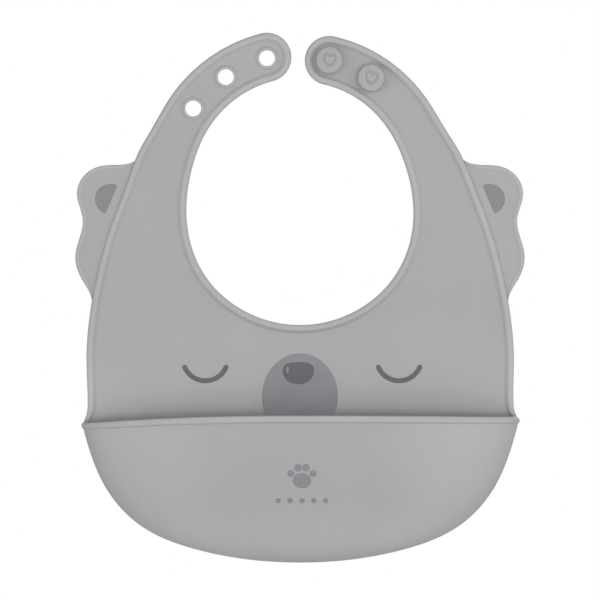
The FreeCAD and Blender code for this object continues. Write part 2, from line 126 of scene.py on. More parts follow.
class BibSheetSizes(PropertyGroup):
    """Sizes of the flat moulding."""
    web: length("Sheet thickness", "Plain sheet between the beads", 1.4)
    bead_width: length("Bead width", "Rounded bead along each free edge", 4.3)
    bead_height: length("Bead height", "Crown of the bead above the flat back", 2.8)
    ear_bead_width: length("Ear bead width", "Rounded bead along each ear", 2.5)
    ear_bead_height: length("Ear bead height", "Crown of the ear's bead above the flat back", 2.0)
    neck_half_width: length("Neck half width", "Of the neck opening's ellipse", 58.2)
    neck_half_height: length("Neck half height", "Of the neck opening's ellipse", 62.6)
    strap_width: length("Strap width", "Across the strap", 25.2)
    shoulder_flare: length("Shoulder flare", "Extra width where the strap meets the yoke", 2.9)
    half_width: length("Half width", "From the middle to the pocket's corners", 111.2)
    fold_height: length("Fold height", "Of the fold below the neck", -72.0)
    bend_span: length("Bend span", "How far a fold's bend spreads", 12.0)


class BibPocketSizes(PropertyGroup):
    """Sizes of the catch pocket."""
    rim: length("Rim height", "Of the pocket's rim at its middle", -108.1)
    height: length("Pocket height", "From the rim to the lowest point", 76.3)
    depth: length("Pocket depth", "From the back to the front wall at the rim", 37.4)
    wall: length("Wall thickness", "Of the pocket's wall", 1.4)
    lip_height: length("Lip height", "Of the band along the rim", 3.6)
    lip_overhang: length("Lip overhang", "How far the band stands out from the wall", 1.0)
    plan_power: FloatProperty(name="Plan roundness", description="Power of the plan's superellipse",
                              default=2.6, min=2, max=6)
    profile_power: FloatProperty(name="Profile roundness",
                                 description="Power of the side view's superellipse",
                                 default=2.4, min=2, max=6)


class BibFasteningSizes(PropertyGroup):
    """Sizes of the button holes and studs."""
    hole_radius: length("Hole radius", "Bore of each button hole", 4.1)
    ring_radius: length("Ring radius", "Outside of the raised ring round a hole", 6.0)
    ring_height: length("Ring height", "Crown of the ring above the flat back", 2.2)
    stem_radius: length("Stem radius", "Of a stud's stem", 3.9)
    head_radius: length("Head radius", "Of a stud's head", 6.9)
    head_back: length("Head underside", "Of a stud's head above the flat back", 4.0)
    head_front: length("Head front", "Edge of a stud's face above the flat back", 6.3)
    heart_width: length("Heart width", "Of the heart line on a stud", 6.6)
    heart_line: length("Heart line", "Width of the heart's line", 0.8)


class BibPrintSizes(PropertyGroup):
    """Sizes of the printed face and of the motif on the pocket."""
    rise: length("Print rise", "How far a print stands on the sheet", 0.2)
    muzzle_half_width: length("Muzzle half width", "Of the muzzle's ellipse", 19.4)
    muzzle_half_height: length("Muzzle half height", "Of the muzzle's ellipse", 22.0)
    muzzle_height: length("Muzzle height", "Of the middle of the muzzle", -99.2)
    nose_half_width: length("Nose half width", "Of the nose", 8.0)
    nose_height: length("Nose height", "Of the nose's widest place", -85.9)
    eye_half_width: length("Eye half width", "Between the ends of a closed lid, halved", 10.6)
    eye_drop: length("Eye drop", "How far a closed lid hangs below its ends", 7.0)
    eye_line: length("Eye line", "Width of a closed lid's line", 2.5)
    eye_height: length("Eye height", "Of the ends of the closed lids", -84.2)
    paw_height: length("Paw height", "Of the paw print's pad", -141.0)
    dot_height: length("Dot height", "Of the row of dots", -151.2)
    dot_radius: length("Dot radius", "Of each dot", 1.3)
    dot_pitch: length("Dot pitch", "Between two dots", 6.0)


class BibColours(PropertyGroup):
    """Base colours of the silicone and its prints."""
    silicone: colour("Silicone", "Moulded silicone", (0.405, 0.395, 0.398))
    muzzle: colour("Muzzle", "Print of the muzzle", (0.262, 0.266, 0.282))
    nose: colour("Nose", "Print of the nose", (0.128, 0.132, 0.141))
    gleam: colour("Gleam", "Print of the gleam on the nose", (0.30, 0.30, 0.31))
    eye: colour("Eyes", "Print of the closed lids", (0.128, 0.137, 0.147))
    ear: colour("Inner ear", "Print inside each ear", (0.238, 0.240, 0.252))
    motif: colour("Motif", "Print on the pocket", (0.245, 0.25, 0.275))
    dust: colour("Lint", "Fine lint and dust on the silicone", (0.66, 0.65, 0.64))


class BibStageSettings(PropertyGroup):
    """The floor, the light and the camera."""
    camera_distance: length("Camera distance", "In front of the flat back", 2200.0)
    camera_height: length("Camera height", "Above the middle of the neck", -49.8)
    frame_width: length("Frame width", "What the camera takes in at the back's plane", 307.8)
    floor_radius: length("Floor radius", "Of the round floor", 420.0)
    floor_height: length("Floor height", "Of the floor", -272.0)
    world_light: FloatProperty(name="Room light", description="Strength of the light from all round",
                               default=0.415, min=0)
    key_light: FloatProperty(name="Key light", description="Power of the main soft light in watts",
                             default=11.5, min=0)
    fill_light: FloatProperty(name="Fill light", description="Power of the soft light on each side in watts",
                              default=5.4, min=0)
    low_light: FloatProperty(name="Low light",
                             description="Power of the soft light in front, low down, in watts",
                             default=4.8, min=0)


def in_mm(group):
    """A property group's lengths in millimetres, and its other values as they are, by name."""
    values = {}
    for name in group.__annotations__:
        value = getattr(group, name)
        values[name] = value / MM if group.bl_rna.properties[name].unit == "LENGTH" else value
    return SimpleNamespace(**values)


def sizes():
    """Sheet, pocket, fastening and print sizes."""
    scene = bpy.context.scene
    return (in_mm(scene.bib_sheet), in_mm(scene.bib_pocket), in_mm(scene.bib_fastening),
            in_mm(scene.bib_print))


# --- lines ------------------------------------------------------------------------------------------
def spline(points, count, ends=None):
    """A cubic through points, equal in slope and bend where spans meet, sampled evenly along it.

    Each span blends its two ends by a and b = 1 - a, and adds (a^3 - a) and (b^3 - b) times the
    bends there, which one linear system settles. Without ends the first and last bend are nothing.
    """
    points = np.asarray(points, float)
    t = np.r_[0, np.cumsum(np.linalg.norm(np.diff(points, axis=0), axis=1))]
    h, n = np.diff(t), len(points)
    slope = np.diff(points, axis=0) / h[:, None]
    matrix, right = np.eye(n), np.zeros_like(points)
    inner = np.arange(1, n - 1)
    matrix[inner, inner] = 2 * (h[:-1] + h[1:])
    matrix[inner, inner - 1], matrix[inner, inner + 1] = h[:-1], h[1:]
    right[1:-1] = 6 * np.diff(slope, axis=0)
    if ends is not None:
        first, last = (np.asarray(end, float) / np.linalg.norm(end) for end in ends)
        matrix[0, :2], right[0] = (2 * h[0], h[0]), 6 * (slope[0] - first)
        matrix[-1, -2:], right[-1] = (h[-1], 2 * h[-1]), 6 * (last - slope[-1])
    bend = np.linalg.solve(matrix, right)
    at = np.linspace(0, t[-1], count)
    k = np.clip(np.searchsorted(t, at, side="right") - 1, 0, n - 2)
    a = ((t[k + 1] - at) / h[k])[:, None]
    b = 1 - a
    curve = ((a ** 3 - a) * bend[k] + (b ** 3 - b) * bend[k + 1]) * (h[k] ** 2)[:, None] / 6
    return a * points[k] + b * points[k + 1] + curve


def resample(line, count, even=1.0):
    """A line's points spread anew along its length."""
    run = np.r_[0, np.cumsum(np.linalg.norm(np.diff(line, axis=0), axis=1))]
    at = np.linspace(0, 1, count) ** even * run[-1]
    return np.stack([np.interp(at, run, line[:, axis]) for axis in (0, 1)], -1)


def neck_points(sheet, side, angle, offset):
    """Points at angles round the neck ellipse, each moved out along the ellipse's normal."""
    turn = np.radians(np.asarray(angle, float))
    a, b = sheet.neck_half_width, sheet.neck_half_height
    normal = np.stack([np.sin(turn) / a, np.cos(turn) / b], -1)
    normal /= np.linalg.norm(normal, axis=-1, keepdims=True)
    on = np.stack([a * np.sin(turn), b * np.cos(turn)], -1)
    return (on + normal * np.asarray(offset, float)[..., None]) * (side, 1)


def neck_angles(sheet, points):
    """The angle round the neck of the place on its ellipse nearest each point, on either side."""
    angles = np.linspace(0, 180, 3601)
    line = neck_points(sheet, RIGHT, angles, np.zeros(3601))
    mirrored = np.abs(points) * (1, 0) + points * (0, 1)
    return angles[np.linalg.norm(mirrored[:, None] - line[None], axis=-1).argmin(1)]


def ease_at(side, angles):
    """How far the neck opening's edge stands out from its ellipse, at angles on one side."""
    low = np.array(BOTTOM_ANGLES)
    known = np.r_[stations(side), low, 360 - low[-2::-1]]
    ease = np.r_[EASE[side], BOTTOM_EASE, BOTTOM_EASE[-2::-1]]
    line = spline(np.stack([known, ease], -1), 3000)
    return np.interp(angles, line[:, 0], line[:, 1])


def inner_edge(sheet, side, angles):
    """The neck opening's edge at angles round the neck."""
    return neck_points(sheet, side, angles, ease_at(side, angles))


def strap_edge(sheet, side, angles):
    """The strap's outer edge at angles round the neck, flared towards the shoulder by a square."""
    flare = sheet.shoulder_flare * np.clip((np.asarray(angles) - 56.0) / 15.0, 0, 1) ** 2
    return neck_points(sheet, side, angles, ease_at(side, angles) + sheet.strap_width + flare)


def normals(line, towards):
    """Unit normals along a line, each turned to the side where its point of towards is."""
    along = np.gradient(line, axis=0)
    normal = np.stack([-along[:, 1], along[:, 0]], -1)
    normal /= np.linalg.norm(normal, axis=1, keepdims=True)
    return normal * np.sign(((towards - line) * normal).sum(1))[:, None]


def stations(side):
    """Angles of the strap's stations round the neck, from the tip."""
    return np.array((TIP_ANGLE[side],) + STRAP_ANGLES)


def outer_line(sheet, side):
    """The free edge from the strap's seam at the yoke down the side to the pocket's corner."""
    strap = strap_edge(sheet, side, np.array([STRAP_SEAMS[0] - 4, STRAP_SEAMS[0], STRAP_ANGLES[-1]]))
    corner = sheet.half_width + CORNER_FLARE[side], CORNER_HEIGHT[side]
    flank = np.array(SIDE_POINTS[side] + (corner,)) * (side, 1)
    return spline(np.vstack([strap, flank]), 1200)


def pocket_line(sheet, pocket, side):
    """The outline from the pocket's corner to the lowest point."""
    share, drop = np.array(POCKET_POINTS).T
    low = np.stack([side * share * sheet.half_width, pocket.rim - drop * pocket.height], -1)
    corner = [(side * (sheet.half_width + CORNER_FLARE[side]), CORNER_HEIGHT[side])]
    points = np.vstack([corner, low, [(0, pocket.rim - pocket.height)]])
    return spline(points, 1200, ((-side * 19.0, -pocket.height), (-side, 0)))


# --- sections ---------------------------------------------------------------------------------------
def ramp(value, low, high):
    """0 below low, 1 above high, and t^2 (3 - 2 t) between."""
    t = np.clip((value - low) / (high - low), 0, 1)
    return t * t * (3 - 2 * t)


def bead(distance, width, height, web, middle=1.1):
    """How far forward the front stands at a distance in from a free edge.

    A quarter ellipse rises from the middle of the edge to a slightly domed crown, and an S falls
    from the crown to the plain sheet.
    """
    rise = np.sqrt(1 - (1 - np.clip(distance / (0.34 * width), 0, 1)) ** 2)
    dome = 0.05 * height * (1 - np.clip((distance - 0.45 * width) / (0.4 * width), -1, 1) ** 2)
    edge = middle + (0.95 * height + dome - middle) * rise
    return edge + (web - edge) * ramp(distance, 0.62 * width, 1.06 * width)


def back_round(distance, middle=1.1, reach=0.8):
    """How far forward the back stands near an edge: a quarter ellipse that ends flat at nothing."""
    return middle * (1 - np.sqrt(1 - (1 - np.clip(distance / reach, 0, 1)) ** 2))


def ellipse_share(share, power):
    """The other axis's share of a superellipse at each share of the first."""
    return np.clip(1 - np.abs(share) ** power, 0, 1) ** (1 / power)


def across_rows(first, last, first_in, last_in, middle):
    """Rows from one edge to another: at the bead's distances in from each, and ruled between.

    Gives the points, and each row's distance from the first edge and from the last one.
    """
    d = BEAD_ROWS[:, None, None]
    near, away = first + first_in * d, last + last_in * d
    share = np.linspace(0, 1, middle + 2)[1:-1, None, None]
    points = np.concatenate([near, near[-1] + (away[-1] - near[-1]) * share, away[::-1]])
    beyond = np.full(middle + len(BEAD_ROWS), 99.0)
    return points, np.r_[BEAD_ROWS, beyond], np.r_[beyond, BEAD_ROWS[::-1]]


def raised(plan, depth):
    """Points given across and up, with how far forward each stands, in the frame's axes."""
    return np.stack([plan[..., 0], -(np.zeros(plan.shape[:-1]) + depth), plan[..., 1]], -1)


# --- meshes -----------------------------------------------------------------------------------------
def grid_faces(rows, cols, first=0):
    """Four-sided faces of a grid of points stored row by row."""
    index = np.arange(rows * cols).reshape(rows, cols) + first
    return np.stack([index[:-1, :-1], index[:-1, 1:], index[1:, 1:], index[1:, :-1]], -1).reshape(-1, 4)


def shell(front, back, closed=(True, True, True, True)):
    """A thin solid between two grids, closed by strips at its first and last row and column."""
    rows, cols = front.shape[:2]
    size = rows * cols
    index = np.arange(size).reshape(rows, cols)
    faces = [grid_faces(rows, cols), grid_faces(rows, cols, size)[:, ::-1]]
    for line, wanted in zip((index[0], index[-1], index[:, 0], index[:, -1]), closed):
        if wanted:
            faces.append(np.stack([line[1:], line[:-1], line[:-1] + size, line[1:] + size], -1))
    return np.vstack([front.reshape(-1, 3), back.reshape(-1, 3)]), np.vstack(faces)


def tube(grid):
    """A closed skin: a grid whose columns run round, so that the last meets the first."""
    rows, cols = grid.shape[:2]
    index = np.arange(rows * cols).reshape(rows, cols)
    beside = np.roll(index, -1, axis=1)
    faces = np.stack([index[:-1], beside[:-1], beside[1:], index[1:]], -1).reshape(-1, 4)
    return grid.reshape(-1, 3), faces


def write_mesh(mesh, parts, sharp=48.0):
    """Sets of points, in millimetres, and faces into a mesh: doubles merged, faces outwards, smooth."""
    points = np.vstack([p for p, _ in parts]) * MM
    starts = np.r_[0, np.cumsum([len(p) for p, _ in parts])]
    faces = np.vstack([f + start for (_, f), start in zip(parts, starts)])
    mesh.from_pydata(points, [], faces.tolist())
    work = bmesh.new()
    work.from_mesh(mesh)
    bmesh.ops.remove_doubles(work, verts=work.verts, dist=3e-6)
    bmesh.ops.dissolve_degenerate(work, edges=work.edges, dist=1e-7)
    bmesh.ops.recalc_face_normals(work, faces=work.faces)
    work.to_mesh(mesh)
    work.free()
    mesh.shade_smooth()
    mesh.set_sharp_from_angle(angle=math.radians(sharp))


def mark_painted_light(piece, values):
    """Keeps a value of painted light for each point: 0 on plain sheet, more on beads and rims where light is
    painted, less where shade is painted because it is dark.
    """
    mesh = piece.data
    # the edge attribute carries painted light and shade into the silicone's tone
    layer = mesh.attributes.get("edge") or mesh.attributes.new("edge", "FLOAT", "POINT")
    layer.data.foreach_set("value", np.asarray(values, np.float32))


def rest_points(piece):
    """A piece's points, in millimetres."""
    points = np.empty(len(piece.data.vertices) * 3, np.float32)
    piece.data.vertices.foreach_get("co", points)
    return points.reshape(-1, 3).astype(float) / MM


def rim_height(x, sheet, pocket):
    """The height of the pocket's rim at places across."""
    droop = np.where(x < 0, RIM_DROOP[LEFT], RIM_DROOP[RIGHT])
    return pocket.rim - droop * np.clip(np.abs(x) / sheet.half_width, 0, 1) ** DROOP_POWER


def pocket_shade(above):
    """1 below the pocket's rim, 0 a little above it, and below 0 where its wall throws light back."""
    reflected = ramp(above, 0, 4) * (1 - ramp(above, 8, 62))
    return 1 - ramp(above, -0.5, 3.2) - REFLECTED_SHARE * reflected


def paint_bead_light_and_pocket_shade(piece, web, crown, depth=None):
    """Paints light on the edges of a flat piece: lighter by how far forward of the plain sheet they stand.

    Values below 0 are painted shade on the sheet inside the pocket, where little light comes: depth is 1
    there.
    """
    points = rest_points(piece)
    # painted highlight on the beads
    values = BEAD_PAINTED_LIGHT * ramp(-points[:, 1], web + 0.15, crown - 0.3)
    if depth:
        # painted shade inside the pocket, and painted reflected light just above it
        values -= INSIDE_PAINTED_SHADE * depth(points[:, 0], points[:, 2]) * (points[:, 1] < -web / 2)
    mark_painted_light(piece, values)


def add_piece(name, parts, material, nodes=(), sharp=48.0):
    """One finished object that stands for CAD nodes."""
    mesh = bpy.data.meshes.new(name)
    write_mesh(mesh, parts, sharp)
    mesh.materials.append(material)
    piece = bpy.data.objects.new(name, mesh)
    bpy.context.scene.collection.objects.link(piece)
    if nodes:
        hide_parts(*nodes)
    return piece


def across_fold(piece, away):
    """Bakes a piece's placement into its mesh. The direction away is made unit length but not used further.
    """
    away = np.asarray(away, float) / np.linalg.norm(away)
    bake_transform(piece)


def strap_hinge(sheet, side, angle):
    """The middle of a strap's fold, and the direction along the strap to its tip."""
    middle = neck_points(sheet, side, [angle - 1, angle, angle + 1], np.full(3, sheet.strap_width / 2))
    fold = neck_points(sheet, side, [angle, angle], np.array([0, 20.0]))
    across = fold[1] - fold[0]
    away = np.array([across[1], -across[0]])
    away *= np.sign(((middle[0] - middle[2]) * away).sum())
    return (middle[1][0], 0, middle[1][1]), (away[0], 0, away[1])


def bend_panel(piece):
    """Hands a piece to across_fold with the direction of the fold below the neck."""
    across_fold(piece, (0, 0, -1))


def bend_pocket(piece):
    """Hands a piece to across_fold with the direction from the panel to the pocket's front wall, back to
    front.
    """
    across_fold(piece, (0, -1, 0))


def bend_ear(piece, side):
    """Hands a piece to across_fold with the direction out across the fold along an ear."""
    top, low = np.array(EAR_FOLD) * (side, 1)
    along = low - top
    out = np.array([-along[1], along[0]])
    out *= np.sign(out[0]) * side
    across_fold(piece, (out[0], 0, out[1]))


# --- the moulding's shapes --------------------------------------------------------------------------
def panel_parts(sheet, pocket):
    """The yoke and the lower panel: columns ruled from the neck's edge to the outline.

    Each column leaves the neck along the ellipse's normal. Rows near both ends stand at the bead's
    distances in from the edge, and the outline's bead dies away below the pocket's corners, where
    the sheet runs into the pocket's wall.
    """
    outline, own = [], []
    for side, _ in SIDES:
        upper, low = outer_line(sheet, side), pocket_line(sheet, pocket, side)
        seam = strap_edge(sheet, side, np.array([STRAP_SEAMS[0]]))
        upper = np.vstack([seam, upper[upper[:, 1] < seam[0, 1] - 0.3]])
        half = np.vstack([resample(upper, 120), resample(low, 96)[1:]])
        outline.append(half)
        angle = np.maximum.accumulate(np.r_[STRAP_SEAMS[0], neck_angles(sheet, half[1:])])
        angle[-1] = 180.0
        own.append(inner_edge(sheet, side, angle))
    outer = np.vstack([outline[0], outline[1][-2::-1]])
    inner = np.vstack([own[0], own[1][-2::-1]])
    side = np.sign(outer[:, 0])
    corner = np.where(side < 0, CORNER_HEIGHT[LEFT], CORNER_HEIGHT[RIGHT])
    beaded = ramp(outer[:, 1], corner - 4.0, corner - 1.0)
    towards_inner = normals(outer, inner)
    outward = (outer - inner) / np.linalg.norm(outer - inner, axis=1, keepdims=True)
    square = np.clip(np.r_[np.arange(len(outer) // 2 + 1), np.arange(len(outer) // 2)[::-1]] / 9.0, 0, 1)
    square = ramp(square, 0, 1)[:, None]
    eased = np.pad(towards_inner, ((10, 10), (0, 0)), "edge")
    towards_inner = np.stack([np.convolve(axis, np.hanning(21), "valid") for axis in eased.T], -1)
    towards_inner /= np.linalg.norm(towards_inner, axis=1, keepdims=True)
    towards_inner = towards_inner * square - outward * (1 - square)
    towards_inner /= np.linalg.norm(towards_inner, axis=1, keepdims=True)
    outer_in = outer + towards_inner * (0.45 * (1 - beaded))[:, None]
    plan, from_neck, from_side = across_rows(inner, outer_in, outward, towards_inner, 46)
    width = sheet.bead_width - 1.1 * ramp(-outer[:, 1], -corner - 9, -corner - 2)
    neck = bead(from_neck, sheet.bead_width, sheet.bead_height, sheet.web)[:, None]
    flank = bead(from_side[:, None], width, sheet.bead_height, sheet.web)
    flank = sheet.web + (flank - sheet.web) * beaded
    front = np.where(from_neck[:, None] < 90, neck, flank)
    inner_height = np.where((outer[:, 1] < 19) & (outer[:, 1] > -53), 0.0, 1.0) * beaded
    back = np.where(from_neck < 90, back_round(from_neck), 0)[:, None]
    back = back + np.where(from_side < 90, back_round(from_side), 0)[:, None] * inner_height
    return [shell(raised(plan, front), raised(plan, back))]


def strap_edges(sheet, side, high, low, count):
    """The strap's inner and outer edge between two angles round the neck, from low to high."""
    angles = np.linspace(low, high, count)
    return inner_edge(sheet, side, angles), strap_edge(sheet, side, angles)


def strap_parts(sheet, side, low, high):
    """A length of strap between two angles: columns straight across, with a bead at each edge."""
    inner, outer = strap_edges(sheet, side, high, low, 84)
    across = (outer - inner) / np.linalg.norm(outer - inner, axis=1, keepdims=True)
    plan, near, away = across_rows(inner, outer, across, -across, 9)
    front = np.where(near < 90, bead(near, sheet.bead_width, sheet.bead_height, sheet.web),
                     bead(away, sheet.bead_width, sheet.bead_height, sheet.web))[:, None]
    back = np.where(near < 90, back_round(near), back_round(away))[:, None]
    return [shell(raised(plan, front), raised(plan, back))]


def tip_parts(sheet, side):
    """The strap's end: rows follow the loop of inner edge, half round tip and outer edge, and the
    rest is ruled to the strap's middle line."""
    tip = TIP_ANGLE[side]
    inner, outer = strap_edges(sheet, side, STRAP_SEAMS[2], tip, 34)
    centre = (inner[0] + outer[0]) / 2
    across = (inner[0] - outer[0]) / 2
    beyond = np.array([-across[1], across[0]])
    beyond *= np.sign(((inner[0] - inner[1]) * beyond).sum())
    turn = np.linspace(0, math.pi, 61)[1:-1, None]
    cap = centre + across * np.cos(turn) + beyond * np.sin(turn)
    loop = np.vstack([inner[::-1], cap, outer])
    middle = (inner + outer) / 2
    spine = np.vstack([middle[::-1], np.repeat(centre[None], len(cap), 0), middle])
    inward = normals(loop, spine)
    straight = (spine - loop) / np.linalg.norm(spine - loop, axis=1, keepdims=True)
    square = ramp(np.r_[np.arange(len(loop) // 2 + 1), np.arange(len(loop) // 2)[::-1]] / 6.0, 0, 1)[:, None]
    inward = inward * square + straight * (1 - square)
    inward /= np.linalg.norm(inward, axis=1, keepdims=True)
    rows = loop + inward * BEAD_ROWS[:, None, None]
    share = np.linspace(0, 1, 8)[1:, None, None]
    plan = np.concatenate([rows, rows[-1] + (spine - rows[-1]) * share])
    distance = np.r_[BEAD_ROWS, np.full(7, 99.0)]
    front = bead(distance, sheet.bead_width, sheet.bead_height, sheet.web)[:, None]
    back = back_round(distance)[:, None]
    return [shell(raised(plan, front), raised(plan, back), (True, False, True, True))]


def revolved(centre, profile, cols=72):
    """A closed profile of radius and height carried round an axis through a point of the sheet."""
    turn = np.linspace(0, 2 * math.pi, cols, endpoint=False)
    radius, height = np.asarray(profile, float).T
    x = centre[0] + radius[:, None] * np.cos(turn)
    z = centre[1] + radius[:, None] * np.sin(turn)
    return np.stack([x, -(height[:, None] + 0 * turn), z], -1)


def hole_ring(centre, sheet, fastening):
    """The raised ring round a button hole: rounded at the crown, sunk in the sheet at its foot."""
    bore, rim, top = fastening.hole_radius, fastening.ring_radius, fastening.ring_height
    middle, half = (bore + rim - 0.5) / 2, (rim - 0.5 - bore) / 2
    turn = np.linspace(math.pi, 0, 15)
    crown = np.stack([middle + half * np.cos(turn), top - 0.5 + 0.5 * np.sin(turn)], -1)
    foot = [(rim - 0.3, sheet.web + 0.22), (rim, sheet.web + 0.04), (rim + 0.3, sheet.web - 0.1),
            (rim, 0.6), (bore + 0.8, 0.5), (bore + 0.62, 0.03), (bore + 0.25, 0.0), (bore + 0.07, 0.1),
            (bore, 0.35), (bore, 0.9)]
    profile = np.vstack([crown, foot])
    return tube(revolved(centre, profile).transpose(1, 0, 2)[np.r_[0:72, 0]])


def hole_centres(sheet, side, count, pitch=FASTENING_PITCH):
    """Places a pitch apart along the strap's middle line, from its tip."""
    angles = np.linspace(TIP_ANGLE[side], 62, 2400)
    line = neck_points(sheet, side, angles, ease_at(side, angles) + sheet.strap_width / 2)
    picked = [0]
    for _ in range(count - 1):
        reach = np.linalg.norm(line - line[picked[-1]], axis=1)
        picked.append(picked[-1] + int(np.argmax(reach[picked[-1]:] >= pitch)))
    return line[picked]


def cut_hole(piece, centre, radius):
    """Cuts a round hole through a piece, with the result written into its mesh."""
    bpy.ops.mesh.primitive_cylinder_add(vertices=96, radius=radius * MM, depth=0.02,
                                        rotation=(math.pi / 2, 0, 0),
                                        location=(centre[0] * MM, 0, centre[1] * MM))
    cutter = bpy.context.object
    cut = piece.modifiers.new("hole", "BOOLEAN")
    cut.object, cut.operation, cut.solver = cutter, "DIFFERENCE", "EXACT"
    result = piece.evaluated_get(bpy.context.evaluated_depsgraph_get())
    mesh = bpy.data.meshes.new_from_object(result)
    piece.modifiers.clear()
    old, piece.data = piece.data, mesh
    mesh.name = piece.name
    bpy.data.meshes.remove(old)
    bpy.data.objects.remove(cutter)


def join_parts(piece, parts):
    """Adds more closed skins to a piece's mesh."""
    extra = bpy.data.meshes.new("extra")
    write_mesh(extra, parts)
    work = bmesh.new()
    work.from_mesh(piece.data)
    work.from_mesh(extra)
    work.to_mesh(piece.data)
    work.free()
    bpy.data.meshes.remove(extra)
    piece.data.shade_smooth()
    piece.data.set_sharp_from_angle(angle=math.radians(48))


def ear_parts(sheet, side):
    """An ear: rows follow its free edge at the bead's distances, then run in under the side's bead.

    Its root sinks into the panel's edge, so neither face lies on the panel's own.
    """
    edge = spline(np.array(EAR_POINTS) * (side, 1), 150)
    body = outer_line(sheet, side)
    order = np.argsort(body[:, 1])
    height = np.interp(np.linspace(0, 1, 150), *EAR_ROOT)
    root = np.stack([np.interp(height, body[order, 1], body[order, 0]), height], -1)
    root = root - np.array([side * 2.2, 0])
    inward = normals(edge, np.array([[side * 70.0, -12.0]]))
    gap = np.linalg.norm(root - edge, axis=1)
    fit = np.clip(gap / 9.0, 0.05, 1)[None, :, None]
    rows = edge + inward * BEAD_ROWS[:, None, None] * fit
    share = np.linspace(0, 1, 16)[1:, None, None]
    plan = np.concatenate([rows, rows[-1] + (root - rows[-1]) * share])
    distance = np.r_[BEAD_ROWS, np.full(15, 99.0)]
    front = bead(distance, sheet.ear_bead_width, sheet.ear_bead_height, sheet.web, 0.9)[:, None]
    back = back_round(distance, 0.9, 0.6)[:, None] + np.zeros(150)
    width = np.abs(np.interp(plan[..., 1], body[order, 1], body[order, 0]))
    inside = ramp(width - np.abs(plan[..., 0]), -0.3, 1.2)
    front = front + (sheet.web * 0.8 - front) * inside
    back = np.maximum(back, 0.35 * inside)
    return [shell(raised(plan, front), raised(plan, back))]


def pocket_level(sheet, pocket):
    """The outline's half width on each side against height, as two tables."""
    tables = {}
    for side, _ in SIDES:
        line = np.vstack([outer_line(sheet, side)[-60:], pocket_line(sheet, pocket, side)[1:]])
        tables[side] = line[::-1, 1], np.abs(line[::-1, 0])
    return tables


def pocket_surface(pocket, drop, share, out, tables):
    """Points of the pocket's wall at shares of its height and half width, moved out from the face.

    Seen from above each level is a superellipse from corner to corner, and its depth falls along
    another one from rim to foot. The rim hangs lower towards its corners, and less so further down.
    """
    level = np.clip(drop, 0, 1)
    height = pocket.rim - drop * pocket.height
    droop = np.where(share < 0, RIM_DROOP[LEFT], RIM_DROOP[RIGHT])
    fade = (1 - level) ** 2
    z = height - droop * np.abs(share) ** DROOP_POWER * fade
    left, right = (np.interp(height - RIM_DROOP[side] * fade, *tables[side]) for side in (LEFT, RIGHT))
    width = np.where(share < 0, left, right)
    depth = pocket.depth * ellipse_share(level, pocket.profile_power)
    width, depth = (np.maximum(size + out, 0.0) for size in (width, depth))
    x = width * share
    y = depth * ellipse_share(share, pocket.plan_power)
    return np.stack([x, -y, z - np.minimum(out, 0) * level], -1)


def closed_strip(grid):
    """A skin of rows that come back to where they began, with its two sides and its foot shut."""
    rows, cols = grid.shape[:2]
    index = np.arange(rows * cols).reshape(rows, cols)
    half = (rows + 1) // 2
    faces = [grid_faces(rows, cols)]
    for col in (0, cols - 1):
        up, down = index[:half, col], index[::-1, col][:half]
        faces.append(np.stack([up[:-1], up[1:], down[1:], down[:-1]], -1))
    faces.append(np.stack([index[0, :-1], index[0, 1:], index[-1, 1:], index[-1, :-1]], -1))
    return grid.reshape(-1, 3), np.vstack(faces)


def pocket_parts(sheet, pocket):
    """The bowl: up the outer face, over the rounded lip and down the inner face, corner to corner."""
    tables = pocket_level(sheet, pocket)
    share = -np.cos(np.linspace(0, math.pi, 191))
    tall, lip, wall, out = pocket.height, pocket.lip_height, pocket.wall, pocket.lip_overhang
    top = (lip + 1.6) / tall
    rise = top + (1 - top) * (1 - np.linspace(0, 1, 66) ** 1.9)
    crown = wall / 2
    half = np.array([(0.0, lip + 1.0), (-0.16, lip + 0.6), (-0.22, lip + 0.3), (-0.1, lip + 0.1),
                     (0.3, lip - 0.02), (0.72, lip - 0.3), (out * 0.95, lip - 0.75), (out, lip - 1.4),
                     (out, 1.3), (out * 0.93, 0.75), (out * 0.7, 0.3), (out * 0.25, 0.06), (-crown, 0.0)])
    inner = half[-2::-1] * (-1, 1) - (2 * crown, 0)
    section = np.vstack([half, inner])
    outs = np.r_[np.zeros(len(rise)), section[:, 0], np.full(len(rise), -wall)][:, None]
    proud = np.clip(np.abs(outs + crown) - crown, 0, None)
    outs = outs - np.sign(outs + crown) * proud * 0.45 * np.abs(share) ** 14
    drops = np.r_[rise, section[:, 1] / tall, rise[::-1]][:, None]
    grid = pocket_surface(pocket, drops + 0 * share, share + 0 * drops, outs, tables)
    grid[..., 1] = np.where(outs > -crown, grid[..., 1], np.minimum(grid[..., 1], -0.5))
    return [closed_strip(grid)]


def paint_pocket_light(piece, sheet, pocket):
    """Paints light on the bowl: a painted highlight on its lip, and lighter flanks where they turn back to
    the panel and a lighter foot, where its curve faces away from the lamps.
    """
    x, _, z = rest_points(piece).T
    tables = pocket_level(sheet, pocket)
    width = np.where(x < 0, np.interp(z, *tables[LEFT]), np.interp(z, *tables[RIGHT]))
    share = np.clip(np.abs(x) / width, 0, 1)
    lip = ramp(z - rim_height(x, sheet, pocket), -pocket.lip_height - 0.5, -pocket.lip_height + 0.3)
    foot = ramp(pocket.rim - z, 0.45 * pocket.height, pocket.height)
    flank = ramp(share, 0.25, 0.8)
    # painted light: lip, flanks and foot drawn lighter than the lamps make them
    mark_painted_light(piece, np.maximum(LIP_PAINTED_LIGHT * lip, np.hypot(FLANK_PAINTED_LIGHT * flank, FOOT_PAINTED_LIGHT * foot)))


